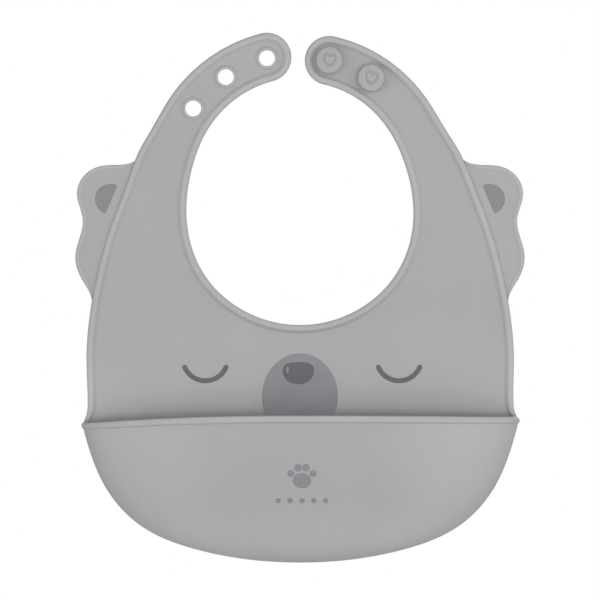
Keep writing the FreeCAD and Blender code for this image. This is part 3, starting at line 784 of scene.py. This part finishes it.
# --- prints and studs -------------------------------------------------------------------------------
def print_parts(loop, spine, rise, rows=10):
    """A thin print: sides up from inside the sheet, a rounded edge, and rows ruled to its middle.

    The loop is the print's outline and the spine the point that each of its points is ruled to.
    Heights are above the surface that the print lies on.
    """
    loop, spine = np.vstack([loop, loop[:1]]), np.vstack([spine, spine[:1]])
    reach = spine - loop
    reach /= np.maximum(np.linalg.norm(reach, axis=1, keepdims=True), 1e-6)
    inset = np.array([0, 0, 0.04, 0.14, 0.3])[:, None, None]
    edge = loop + reach * inset
    share = np.linspace(0, 1, rows)[1:, None, None]
    plan = np.concatenate([edge, edge[-1] + (spine - edge[-1]) * share])
    lift = np.r_[-0.5, 0, 0.62 * rise, 0.93 * rise, np.full(rows, rise)][:, None]
    return plan, lift, np.full_like(lift, -0.5)


def flat_print(loop, spine, base, rise, rows=10):
    """A print on the flat sheet."""
    plan, lift, under = print_parts(loop, spine, rise, rows)
    return shell(raised(plan, base + lift), raised(plan, base + under), (False, False, False, False))


def pocket_front(sheet, pocket, plan):
    """How far forward the pocket's outer face stands at places across and up."""
    tables = pocket_level(sheet, pocket)
    width = np.interp(plan[..., 1], *tables[RIGHT])
    level = np.clip((pocket.rim - plan[..., 1]) / pocket.height, 0, 1)
    depth = pocket.depth * ellipse_share(level, pocket.profile_power)
    return depth * ellipse_share(plan[..., 0] / width, pocket.plan_power)


def wrapped_print(loop, middle, sheet, pocket, rise):
    """A print on the pocket's curved front."""
    spine = np.repeat(np.array([middle], float), len(loop), 0)
    plan, lift, under = print_parts(loop, spine, rise, 7)
    front = pocket_front(sheet, pocket, plan)
    return shell(raised(plan, front + lift), raised(plan, front + under), (False, False, False, False))


def ellipse_loop(centre, reach_x, reach_low, reach_high=None, count=96):
    """An ellipse's points, whose half above its middle may be as tall as reach_high instead."""
    turn = np.linspace(0, 2 * math.pi, count, endpoint=False)
    tall = np.where(np.sin(turn) > 0, reach_high or reach_low, reach_low)
    return np.asarray(centre) + np.stack([reach_x * np.cos(turn), tall * np.sin(turn)], -1)


def nose_loop(centre, reach_x, high, low, count=120):
    """The nose: a flat-topped superellipse above its widest place and a rounder one below."""
    turn = np.linspace(0, 2 * math.pi, count, endpoint=False)
    c, d = np.cos(turn), np.sin(turn)
    x = np.sign(c) * np.abs(c) ** np.where(d > 0, 2 / 2.5, 2 / 2.15) * reach_x
    z = np.sign(d) * np.abs(d) ** np.where(d > 0, 2 / 2.5, 2 / 2.0) * np.where(d > 0, high, low)
    return np.asarray(centre) + np.stack([x, z], -1)


def band_loop(path, width):
    """A band's outline and the path point each of its points is nearest: two sides, two round ends."""
    along = np.gradient(path, axis=0)
    along /= np.linalg.norm(along, axis=1, keepdims=True)
    side = np.stack([-along[:, 1], along[:, 0]], -1) * width / 2
    turn = np.linspace(0, math.pi, 13)[1:-1, None]
    last = path[-1] + side[-1] * np.cos(turn) + along[-1] * width / 2 * np.sin(turn)
    first = path[0] - side[0] * np.cos(turn) - along[0] * width / 2 * np.sin(turn)
    loop = np.vstack([path + side, last, (path - side)[::-1], first])
    spine = np.vstack([path, np.repeat(path[-1:], 11, 0), path[::-1], np.repeat(path[:1], 11, 0)])
    return loop, spine


def eye_path(prints, x):
    """A closed lid's middle line: an arc that hangs between its ends."""
    half, drop = prints.eye_half_width, prints.eye_drop
    radius = (half ** 2 + drop ** 2) / (2 * drop)
    reach = math.asin(min(1.0, half / radius))
    turn = np.linspace(-reach, reach, 60)
    return np.stack([x + radius * np.sin(turn),
                     prints.eye_height - drop + radius * (1 - np.cos(turn))], -1)


def ear_patch_loop(side):
    """Half an ellipse with its flat side towards the panel, and its corners eased."""
    tilt = math.radians(22.8)
    down = np.array([side * math.sin(tilt), -math.cos(tilt)])
    out = np.array([side * math.cos(tilt), math.sin(tilt)])
    turn = np.linspace(0, math.pi, 61)
    bow = np.stack([-np.cos(turn) * 7.9, np.sin(turn) * 8.4], -1)
    flat = np.stack([np.linspace(7.9, -7.9, 40)[1:-1], np.zeros(38)], -1)
    both = np.vstack([bow, flat])
    for _ in range(3):
        both = (np.roll(both, 1, 0) + 2 * both + np.roll(both, -1, 0)) / 4
    middle = np.array([side * 96.7, 1.7])
    return middle + both[:, :1] * down + both[:, 1:] * out, middle + out * 3.4


def stud_parts(centre, lean, sheet, fastening):
    """A mushroom stud turned round its axis, with a heart's line pressed into its face.

    The face is domed by a parabola. The heart is x = sin t (0.88 + 0.12 cos t), z = 0.78 cos t + 0.62 |sin
    t|^0.8 (0.65 + 0.35 cos t) - 0.12, scaled by half its width. The groove is a bell curve of the distance
    from it.
    """
    stem, head = fastening.stem_radius, fastening.head_radius
    low, front = fastening.head_back, fastening.head_front
    turn = np.linspace(0, math.pi / 2, 8)[::-1]
    under = np.stack([head - 0.7 + 0.7 * np.cos(turn), low + 0.7 - 0.7 * np.sin(turn)], -1)
    edge = np.stack([head - 0.9 + 0.9 * np.cos(turn[::-1]), front - 0.9 + 0.9 * np.sin(turn[::-1])], -1)
    foot = [(0.0, 0.5), (stem + 0.7, 0.5), (stem + 0.7, sheet.web + 0.02), (stem + 0.3, sheet.web + 0.12),
            (stem, sheet.web + 0.6), (stem, low - 0.25), (stem + 0.3, low)]
    radius = np.linspace(head - 0.9, 0, 64)[1:]
    profile = np.vstack([foot, under, edge, np.stack([radius, np.full(63, front)], -1)])
    grid = revolved((0, 0), profile, 180)
    t, width = np.radians(lean), fastening.heart_line
    u, v = (grid[..., 0] * math.cos(t) - grid[..., 2] * math.sin(t),
            grid[..., 0] * math.sin(t) + grid[..., 2] * math.cos(t))
    step = np.linspace(0, 2 * math.pi, 241)
    half = fastening.heart_width / 2
    lobes = 0.62 * np.abs(np.sin(step)) ** 0.8 * (0.65 + 0.35 * np.cos(step))
    heart = half * np.stack([np.sin(step) * (0.88 + 0.12 * np.cos(step)),
                             0.78 * np.cos(step) + lobes - 0.12], -1)
    away = np.hypot(u[..., None] - heart[:, 0], v[..., None] - heart[:, 1]).min(-1)
    reach = np.hypot(u, v)
    face = np.zeros(len(profile))[:, None] + (np.arange(len(profile)) >= len(profile) - 64)[:, None]
    lift = 0.4 * (1 - (reach / (head - 0.9)) ** 2)
    groove = 0.7 * np.exp(-(away / (0.62 * width)) ** 2)
    grid[..., 1] -= face * (np.clip(lift, 0, None) - groove)
    grid = grid + raised(np.array(centre, float), 0.0)
    return [tube(grid)]


# --- materials --------------------------------------------------------------------------------------
def add_node(tree, kind, inputs=None, **settings):
    """A node with its settings and plain input values."""
    node = tree.nodes.new(kind)
    for name, value in settings.items():
        setattr(node, name, value)
    for name, value in (inputs or {}).items():
        node.inputs[name].default_value = value
    return node


def make_group(name, inputs, outputs):
    """An empty node group with named sockets, and its two end nodes."""
    tree = bpy.data.node_groups.new(name, "ShaderNodeTree")
    for label, kind, value in inputs:
        socket = tree.interface.new_socket(name=label, in_out="INPUT", socket_type=kind)
        socket.default_value = value
    for label, kind in outputs:
        tree.interface.new_socket(name=label, in_out="OUTPUT", socket_type=kind)
    return tree, tree.nodes.new("NodeGroupInput"), tree.nodes.new("NodeGroupOutput")


def noise(tree, coordinates, scale, detail=3.0, rough=0.5):
    """A noise texture's value at a scale in waves a metre."""
    node = add_node(tree, "ShaderNodeTexNoise", {"Scale": scale, "Detail": detail, "Roughness": rough})
    tree.links.new(coordinates, node.inputs["Vector"])
    return node.outputs["Fac"]


def remap(tree, value, low, high, to_low, to_high):
    """A value carried from one range to another, and held inside it."""
    node = add_node(tree, "ShaderNodeMapRange", {"From Min": low, "From Max": high, "To Min": to_low,
                                                 "To Max": to_high}, clamp=True)
    tree.links.new(value, node.inputs["Value"])
    return node.outputs["Result"]


def sums(tree, operation, first, second):
    """Two values, or a value and a number, put through one operation."""
    node = add_node(tree, "ShaderNodeMath", operation=operation)
    for socket, value in zip(node.inputs, (first, second)):
        if isinstance(value, (int, float)):
            socket.default_value = value
        else:
            tree.links.new(value, socket)
    return node.outputs["Value"]


def tinted(tree, base, factor, other, blend="MIX"):
    """One colour laid over another by a factor."""
    node = add_node(tree, "ShaderNodeMix", data_type="RGBA", blend_type=blend)
    for name, value in ((0, factor), (6, base), (7, other)):
        if hasattr(value, "is_output"):
            tree.links.new(value, node.inputs[name])
        else:
            node.inputs[name].default_value = value
    return node.outputs[2]


def silicone_group():
    """Matt moulded silicone: cloudy tone, fine mould grain, faint flow marks, handling and lint, with painted
    light and shade from the edge attribute.
    """
    tree, start, end = make_group(
        "silicone_surface",
        [("Colour", "NodeSocketColor", (0.4, 0.4, 0.4, 1)),
         ("Lint colour", "NodeSocketColor", (0.7, 0.7, 0.7, 1)),
         ("Lint", "NodeSocketFloat", 1.0), ("Cloud", "NodeSocketFloat", 1.0),
         ("Painted light", "NodeSocketFloat", 0.1)],
        [("Colour", "NodeSocketColor"), ("Roughness", "NodeSocketFloat"), ("Height", "NodeSocketFloat")])
    place = add_node(tree, "ShaderNodeTexCoord").outputs["Object"]
    stretch = add_node(tree, "ShaderNodeMapping")
    stretch.inputs["Scale"].default_value = (1.0, 1.0, 0.35)
    tree.links.new(place, stretch.inputs["Vector"])
    cloud = noise(tree, place, 14.0, 4.0)
    flow = noise(tree, stretch.outputs["Vector"], 60.0, 3.0, 0.6)
    grain = noise(tree, place, 1500.0, 2.0, 0.6)
    pebble = noise(tree, place, 520.0, 2.0)
    touch = noise(tree, place, 34.0, 5.0, 0.62)
    specks = add_node(tree, "ShaderNodeTexVoronoi", {"Scale": 260.0, "Randomness": 1.0})
    tree.links.new(place, specks.inputs["Vector"])
    chosen = add_node(tree, "ShaderNodeSeparateColor")
    tree.links.new(specks.outputs["Color"], chosen.inputs["Color"])
    rare = remap(tree, chosen.outputs["Red"], 0.955, 0.965, 0.0, 1.0)
    speck = sums(tree, "MULTIPLY", remap(tree, specks.outputs["Distance"], 0.05, 0.11, 1.0, 0.0), rare)
    lint = sums(tree, "MULTIPLY", sums(tree, "MULTIPLY", speck, 0.16), start.outputs["Lint"])
    tone = sums(tree, "ADD", remap(tree, cloud, 0.3, 0.7, -0.022, 0.022),
                remap(tree, flow, 0.3, 0.7, -0.012, 0.012))
    tone = sums(tree, "ADD", tone, remap(tree, grain, 0.3, 0.7, -0.03, 0.03))
    tone = sums(tree, "ADD", sums(tree, "MULTIPLY", tone, start.outputs["Cloud"]), 1.0)
    # painted light and shade: the edge attribute, times the socket's amount, lightens beads, rims and the
    # pocket's foot and darkens the sheet inside the pocket
    edge = add_node(tree, "ShaderNodeAttribute", attribute_name="edge").outputs["Fac"]
    tone = sums(tree, "ADD", tone, sums(tree, "MULTIPLY", edge, start.outputs["Painted light"]))
    scaled = add_node(tree, "ShaderNodeVectorMath", operation="SCALE")
    tree.links.new(start.outputs["Colour"], scaled.inputs[0])
    tree.links.new(tone, scaled.inputs["Scale"])
    colour_out = tinted(tree, scaled.outputs["Vector"], lint, start.outputs["Lint colour"])
    tree.links.new(colour_out, end.inputs["Colour"])
    rough = sums(tree, "ADD", remap(tree, touch, 0.3, 0.7, 0.50, 0.62),
                 remap(tree, grain, 0.3, 0.7, -0.03, 0.03))
    tree.links.new(sums(tree, "ADD", rough, sums(tree, "MULTIPLY", lint, 0.5)), end.inputs["Roughness"])
    height = sums(tree, "ADD", sums(tree, "MULTIPLY", pebble, 0.55), sums(tree, "MULTIPLY", grain, 0.3))
    height = sums(tree, "ADD", height, sums(tree, "MULTIPLY", flow, 0.5))
    tree.links.new(sums(tree, "ADD", height, sums(tree, "MULTIPLY", speck, 0.4)), end.inputs["Height"])
    return tree


def ink_group():
    """Printed silicone ink: even tone with a fine screen grain and pinholes, a little smoother."""
    tree, start, end = make_group(
        "ink_surface",
        [("Colour", "NodeSocketColor", (0.2, 0.2, 0.2, 1)), ("Under", "NodeSocketColor", (0.4, 0.4, 0.4, 1))],
        [("Colour", "NodeSocketColor"), ("Roughness", "NodeSocketFloat"), ("Height", "NodeSocketFloat")])
    place = add_node(tree, "ShaderNodeTexCoord").outputs["Object"]
    mesh_grain = noise(tree, place, 2100.0, 2.0, 0.6)
    drift = noise(tree, place, 70.0, 3.0)
    holes = add_node(tree, "ShaderNodeTexVoronoi", {"Scale": 900.0, "Randomness": 1.0})
    tree.links.new(place, holes.inputs["Vector"])
    chosen = add_node(tree, "ShaderNodeSeparateColor")
    tree.links.new(holes.outputs["Color"], chosen.inputs["Color"])
    rare = remap(tree, chosen.outputs["Green"], 0.975, 0.985, 0.0, 1.0)
    pin = sums(tree, "MULTIPLY", remap(tree, holes.outputs["Distance"], 0.12, 0.2, 1.0, 0.0), rare)
    tone = sums(tree, "ADD", remap(tree, mesh_grain, 0.3, 0.7, 0.95, 1.05),
                remap(tree, drift, 0.3, 0.7, -0.03, 0.03))
    scaled = add_node(tree, "ShaderNodeVectorMath", operation="SCALE")
    tree.links.new(start.outputs["Colour"], scaled.inputs[0])
    tree.links.new(tone, scaled.inputs["Scale"])
    shade = tinted(tree, scaled.outputs["Vector"], sums(tree, "MULTIPLY", pin, 0.5), start.outputs["Under"])
    tree.links.new(shade, end.inputs["Colour"])
    tree.links.new(remap(tree, mesh_grain, 0.3, 0.7, 0.44, 0.54), end.inputs["Roughness"])
    tree.links.new(sums(tree, "SUBTRACT", mesh_grain, sums(tree, "MULTIPLY", pin, 0.8)), end.inputs["Height"])
    return tree


def soft_material(name, group, values, bump, scatter):
    """A Principled material whose colour, roughness and bump come from a surface group."""
    if name in bpy.data.materials:
        return bpy.data.materials[name]
    tree_group = bpy.data.node_groups.get(group) or {"silicone_surface": silicone_group,
                                                      "ink_surface": ink_group}[group]()
    material = bpy.data.materials.new(name)
    material.use_nodes = True
    tree = material.node_tree
    shader = tree.nodes["Principled BSDF"]
    surface = add_node(tree, "ShaderNodeGroup", node_tree=tree_group)
    for label, value in values.items():
        surface.inputs[label].default_value = value
    height = add_node(tree, "ShaderNodeBump", {"Strength": bump, "Distance": 0.0001})
    tree.links.new(surface.outputs["Colour"], shader.inputs["Base Color"])
    tree.links.new(surface.outputs["Roughness"], shader.inputs["Roughness"])
    tree.links.new(surface.outputs["Height"], height.inputs["Height"])
    tree.links.new(height.outputs["Normal"], shader.inputs["Normal"])
    shader.inputs["IOR"].default_value = 1.41
    shader.inputs["Specular IOR Level"].default_value = 0.42
    if scatter:
        shader.inputs["Subsurface Weight"].default_value = scatter
        shader.inputs["Subsurface Radius"].default_value = (1.0, 0.9, 0.85)
        shader.inputs["Subsurface Scale"].default_value = 0.0008
    return material


def silicone(name="moulded_silicone", lint=1.0):
    """The bib's own silicone."""
    colours = bpy.context.scene.bib_colours
    # the last value in this table sets how strongly the painted light and shade show on the silicone
    return soft_material(name, "silicone_surface",
                         {"Colour": (*colours.silicone, 1), "Lint colour": (*colours.dust, 1), "Lint": lint,
                          "Cloud": 1.0, "Painted light": 0.2}, 0.5, 0.12)


def ink(part):
    """A print's silicone ink, in the colour of that part."""
    colours = bpy.context.scene.bib_colours
    return soft_material(f"{part}_ink", "ink_surface", {"Colour": (*getattr(colours, part), 1),
                                                       "Under": (*colours.silicone, 1)}, 0.35, 0)


# --- operators --------------------------------------------------------------------------------------
class BIB_OT_panel(Operator):
    """Builds the yoke and the lower panel as one sheet."""
    bl_idname = "bib.panel"
    bl_label = "Yoke and lower panel"

    def execute(self, context):
        sheet, pocket, _, _ = sizes()
        piece = add_piece("panel_sheet", panel_parts(sheet, pocket), silicone(),
                          ("upper_panel", "lower_panel"))
        # painted light on the beads, painted shade inside the pocket and painted reflected light just above
        # it
        paint_bead_light_and_pocket_shade(piece, sheet.web, sheet.bead_height,
                   lambda x, z: pocket_shade(z - rim_height(x, sheet, pocket)))
        bend_panel(piece)
        return {"FINISHED"}


class BIB_OT_straps(Operator):
    """Builds each strap in three lengths, with rings round the left strap's button holes."""
    bl_idname = "bib.straps"
    bl_label = "Straps and button holes"

    def execute(self, context):
        sheet, _, fastening, _ = sizes()
        parts = ("root", "middle", "tip")
        holes = hole_centres(sheet, LEFT, 3)[::-1] + HOLE_SHIFT
        for side, name in SIDES:
            for number, part in enumerate(parts):
                low = STRAP_SEAMS[number + 1] if number < 2 else 0
                shape = strap_parts(sheet, side, STRAP_SEAMS[number], low) if number < 2 \
                    else tip_parts(sheet, side)
                body = f"{name}_strap_{part}"
                piece = add_piece(f"{body}_skin", shape, silicone(), (body,))
                if side == LEFT:
                    cut_hole(piece, holes[number], fastening.hole_radius + 0.5)
                    join_parts(piece, [hole_ring(holes[number], sheet, fastening)])
                # painted light on the beads and hole rings
                paint_bead_light_and_pocket_shade(piece, sheet.web, sheet.bead_height)
                hinge, away = strap_hinge(sheet, side, STRAP_FOLDS[number])
                across_fold(piece, away)
        return {"FINISHED"}


class BIB_OT_studs(Operator):
    """Builds the two studs on the right strap, each with a heart's line on its face."""
    bl_idname = "bib.studs"
    bl_label = "Studs"

    def execute(self, context):
        sheet, _, fastening, _ = sizes()
        centres = hole_centres(sheet, RIGHT, 2)
        for (name, body, lean), centre in zip(STUDS, centres):
            piece = add_piece(f"{name}_button", stud_parts(centre, lean, sheet, fastening),
                              silicone("stud_silicone_finish", 0.6), (name,))
            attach(piece, body)
        return {"FINISHED"}


class BIB_OT_ears(Operator):
    """Builds the ear flaps and the darker print inside each."""
    bl_idname = "bib.ears"
    bl_label = "Ears"

    def execute(self, context):
        sheet, _, _, prints = sizes()
        for side, name in SIDES:
            flap = add_piece(f"{name}_ear_skin", ear_parts(sheet, side), silicone(),
                             (f"{name}_ear_flap",))
            # painted light on the ear's bead
            paint_bead_light_and_pocket_shade(flap, sheet.web, sheet.ear_bead_height + 0.2)
            bend_ear(flap, side)
            loop, middle = ear_patch_loop(side)
            spine = np.repeat(middle[None], len(loop), 0)
            patch = add_piece(f"{name}_ear_patch", [flat_print(loop, spine, sheet.web, prints.rise)],
                              ink("ear"), (f"{name}_ear_print",))
            bend_ear(patch, side)
        return {"FINISHED"}


class BIB_OT_pocket(Operator):
    """Builds the catch pocket's bowl with its rolled rim."""
    bl_idname = "bib.pocket"
    bl_label = "Catch pocket"

    def execute(self, context):
        sheet, pocket, _, _ = sizes()
        piece = add_piece("pocket_bowl", pocket_parts(sheet, pocket), silicone(),
                          ("pocket_front_wall", "pocket_front_lip", "pocket_base", "pocket_left_side",
                           "pocket_right_side"))
        # painted light on the pocket's lip, flanks and foot
        paint_pocket_light(piece, sheet, pocket)
        bend_pocket(piece)
        return {"FINISHED"}


class BIB_OT_face(Operator):
    """Builds the printed sleeping face: muzzle, nose with its gleam, and two closed lids."""
    bl_idname = "bib.face"
    bl_label = "Printed face"

    def execute(self, context):
        sheet, _, _, prints = sizes()
        base, rise = sheet.web, prints.rise

        def one(name, node, loop, spine, level, part, slot, rows=10):
            spine = np.repeat(np.array([spine], float), len(loop), 0) if len(np.shape(spine)) == 1 else spine
            piece = add_piece(name, [flat_print(loop, spine, base + level * rise, rise, rows)], ink(part),
                              (node,))
            bend_panel(piece)

        centre = (0.0, prints.muzzle_height)
        one("muzzle_patch", "muzzle_print", ellipse_loop(centre, prints.muzzle_half_width,
                                                        prints.muzzle_half_height, count=120),
            centre, 0, "muzzle", "print_dark", 16)
        nose = (-0.8, prints.nose_height)
        one("nose_patch", "nose_print", nose_loop(nose, prints.nose_half_width, 4.3, 7.1), nose, 1,
            "nose", "print_nose")
        x = nose[0] - prints.nose_half_width + 2.4
        bar = np.stack([np.full(9, x), np.linspace(-1.0, 1.0, 9) + nose[1] + 0.4], -1)
        one("nose_gleam", "nose_highlight", *band_loop(bar, 1.15), 2, "gleam", "print_light", 4)
        for _, name in SIDES:
            lid = band_loop(eye_path(prints, EYE_MIDDLE[name]), prints.eye_line)
            one(f"{name}_closed_eye", f"{name}_eye_print", *lid, 0, "eye", "print_eye", 5)
        return {"FINISHED"}


class BIB_OT_motif(Operator):
    """Builds the paw print and the row of dots on the pocket."""
    bl_idname = "bib.motif"
    bl_label = "Pocket motif"

    def execute(self, context):
        sheet, pocket, _, prints = sizes()
        middle = (1.0, prints.paw_height)
        toes = ((-5.6, 3.6, 1.7), (-2.0, 6.6, 1.9), (2.0, 6.6, 1.9), (5.6, 3.6, 1.7))
        rounds = [(middle, 4.6, 3.8)] + [((middle[0] + x, middle[1] + z), r, r) for x, z, r in toes]
        dots = [((middle[0] + (n - 2) * prints.dot_pitch, prints.dot_height),
                 prints.dot_radius, prints.dot_radius) for n in range(5)]
        for name, node, group in (("paw_patch", "pocket_paw_print", rounds),
                                  ("dot_patches", "pocket_dot_row", dots)):
            parts = [wrapped_print(ellipse_loop(place, wide, tall, count=72), place, sheet, pocket,
                                   prints.rise) for place, wide, tall in group]
            piece = add_piece(name, parts, ink("motif"), (node,))
            bend_pocket(piece)
        return {"FINISHED"}


class BIB_OT_stage(Operator):
    """Builds the floor, the soft studio lights and the camera."""
    bl_idname = "bib.stage"
    bl_label = "Stage"

    def execute(self, context):
        stage = in_mm(context.scene.bib_stage)
        floor_disc(stage)
        world = bpy.data.worlds.new("room")
        context.scene.world = world
        world.use_nodes = True
        tree = world.node_tree
        tree.nodes.clear()
        seen = add_node(tree, "ShaderNodeBackground", {"Color": (1, 1, 1, 1), "Strength": 1.0})
        cast = add_node(tree, "ShaderNodeBackground", {"Color": (1, 1, 1, 1), "Strength": stage.world_light})
        path = add_node(tree, "ShaderNodeLightPath")
        mix = add_node(tree, "ShaderNodeMixShader")
        out = add_node(tree, "ShaderNodeOutputWorld")
        tree.links.new(path.outputs["Is Camera Ray"], mix.inputs[0])
        tree.links.new(cast.outputs[0], mix.inputs[1])
        tree.links.new(seen.outputs[0], mix.inputs[2])
        tree.links.new(mix.outputs[0], out.inputs["Surface"])
        area_light("key", (0.25, -1.75, 0.1), 1.3, stage.key_light)
        area_light("low", (0.1, -1.3, -0.95), 1.0, stage.low_light)
        area_light("fill", (-1.3, -1.0, -0.2), 1.0, stage.fill_light)
        area_light("rim", (1.4, -0.7, 0.2), 1.0, stage.fill_light)
        area_light("back", (0.3, 1.4, 0.6), 1.2, stage.key_light * 0.6)
        context.scene.view_settings.view_transform = "Standard"
        camera = bpy.data.cameras.new("camera")
        camera.sensor_width = 36.0
        camera.lens = 36.0 * stage.camera_distance / stage.frame_width
        camera.clip_end = 20.0
        eye = bpy.data.objects.new("camera", camera)
        eye.location = (0, -stage.camera_distance * MM, stage.camera_height * MM)
        eye.rotation_euler = (math.pi / 2, 0, 0)
        context.scene.collection.objects.link(eye)
        context.scene.camera = eye
        return {"FINISHED"}


def floor_disc(stage):
    """A round pale floor with a rolled edge, whose tone drifts a little."""
    profile = [(0.001, 0.0), (0.6, 0.0), (0.97, 0.0), (0.99, -0.004), (1.0, -0.016),
               (0.99, -0.03), (0.001, -0.03)]
    radius, height = np.array(profile).T
    turn = np.linspace(0, 2 * math.pi, 129)[:-1, None]
    grid = np.stack([stage.floor_radius * radius * np.cos(turn), stage.floor_radius * radius * np.sin(turn),
                     stage.floor_height + stage.floor_radius * height + 0 * turn], -1)
    mesh = bpy.data.meshes.new("floor")
    write_mesh(mesh, [tube(grid.transpose(1, 0, 2))], 30)
    floor = bpy.data.objects.new("floor", mesh)
    bpy.context.scene.collection.objects.link(floor)
    material = bpy.data.materials.new("floor_paint")
    material.use_nodes = True
    tree = material.node_tree
    place = add_node(tree, "ShaderNodeTexCoord").outputs["Object"]
    shade = remap(tree, noise(tree, place, 5.0), 0.3, 0.7, 0.80, 0.84)
    paint = add_node(tree, "ShaderNodeCombineColor")
    for channel in ("Red", "Green", "Blue"):
        tree.links.new(shade, paint.inputs[channel])
    tree.links.new(paint.outputs["Color"], tree.nodes["Principled BSDF"].inputs["Base Color"])
    tree.nodes["Principled BSDF"].inputs["Roughness"].default_value = 0.7
    mesh.materials.append(material)


def area_light(name, place, size, power):
    """A square soft light that faces the bib."""
    light = bpy.data.lights.new(name, "AREA")
    light.energy, light.size = power, size
    lamp = bpy.data.objects.new(name, light)
    lamp.location = place
    lamp.rotation_euler = (Vector((0, 0, -0.05)) - Vector(place)).to_track_quat("-Z", "Y").to_euler()
    bpy.context.scene.collection.objects.link(lamp)


class BIB_PT_sidebar(Panel):
    """Lists the bib's sizes, colours and building steps."""
    bl_idname = "BIB_PT_sidebar"
    bl_label = "Silicone bib"
    bl_space_type = "VIEW_3D"
    bl_region_type = "UI"
    bl_category = "Bib"

    def draw(self, context):
        for operator in OPERATORS:
            self.layout.operator(operator.bl_idname)
        for label, _ in GROUPS:
            box = self.layout.box()
            group = getattr(context.scene, label)
            for name in group.__annotations__:
                box.prop(group, name)


GROUPS = (("bib_sheet", BibSheetSizes), ("bib_pocket", BibPocketSizes), ("bib_fastening", BibFasteningSizes),
          ("bib_print", BibPrintSizes), ("bib_colours", BibColours), ("bib_stage", BibStageSettings))
OPERATORS = (BIB_OT_stage, BIB_OT_panel, BIB_OT_straps, BIB_OT_studs, BIB_OT_ears, BIB_OT_pocket,
             BIB_OT_face, BIB_OT_motif)


def register():
    """Adds the property groups, operators and panel to Blender."""
    for label, group in GROUPS:
        bpy.utils.register_class(group)
        setattr(bpy.types.Scene, label, PointerProperty(type=group))
    for each in OPERATORS + (BIB_PT_sidebar,):
        bpy.utils.register_class(each)


def unregister():
    """Takes them out again."""
    for each in (BIB_PT_sidebar,) + OPERATORS[::-1]:
        bpy.utils.unregister_class(each)
    for label, group in GROUPS[::-1]:
        delattr(bpy.types.Scene, label)
        bpy.utils.unregister_class(group)


def main():
    """Builds everything in order."""
    register()
    for operator in OPERATORS:
        getattr(bpy.ops.bib, operator.bl_idname.split(".")[1])()


if __name__ == "__main__":
    main()
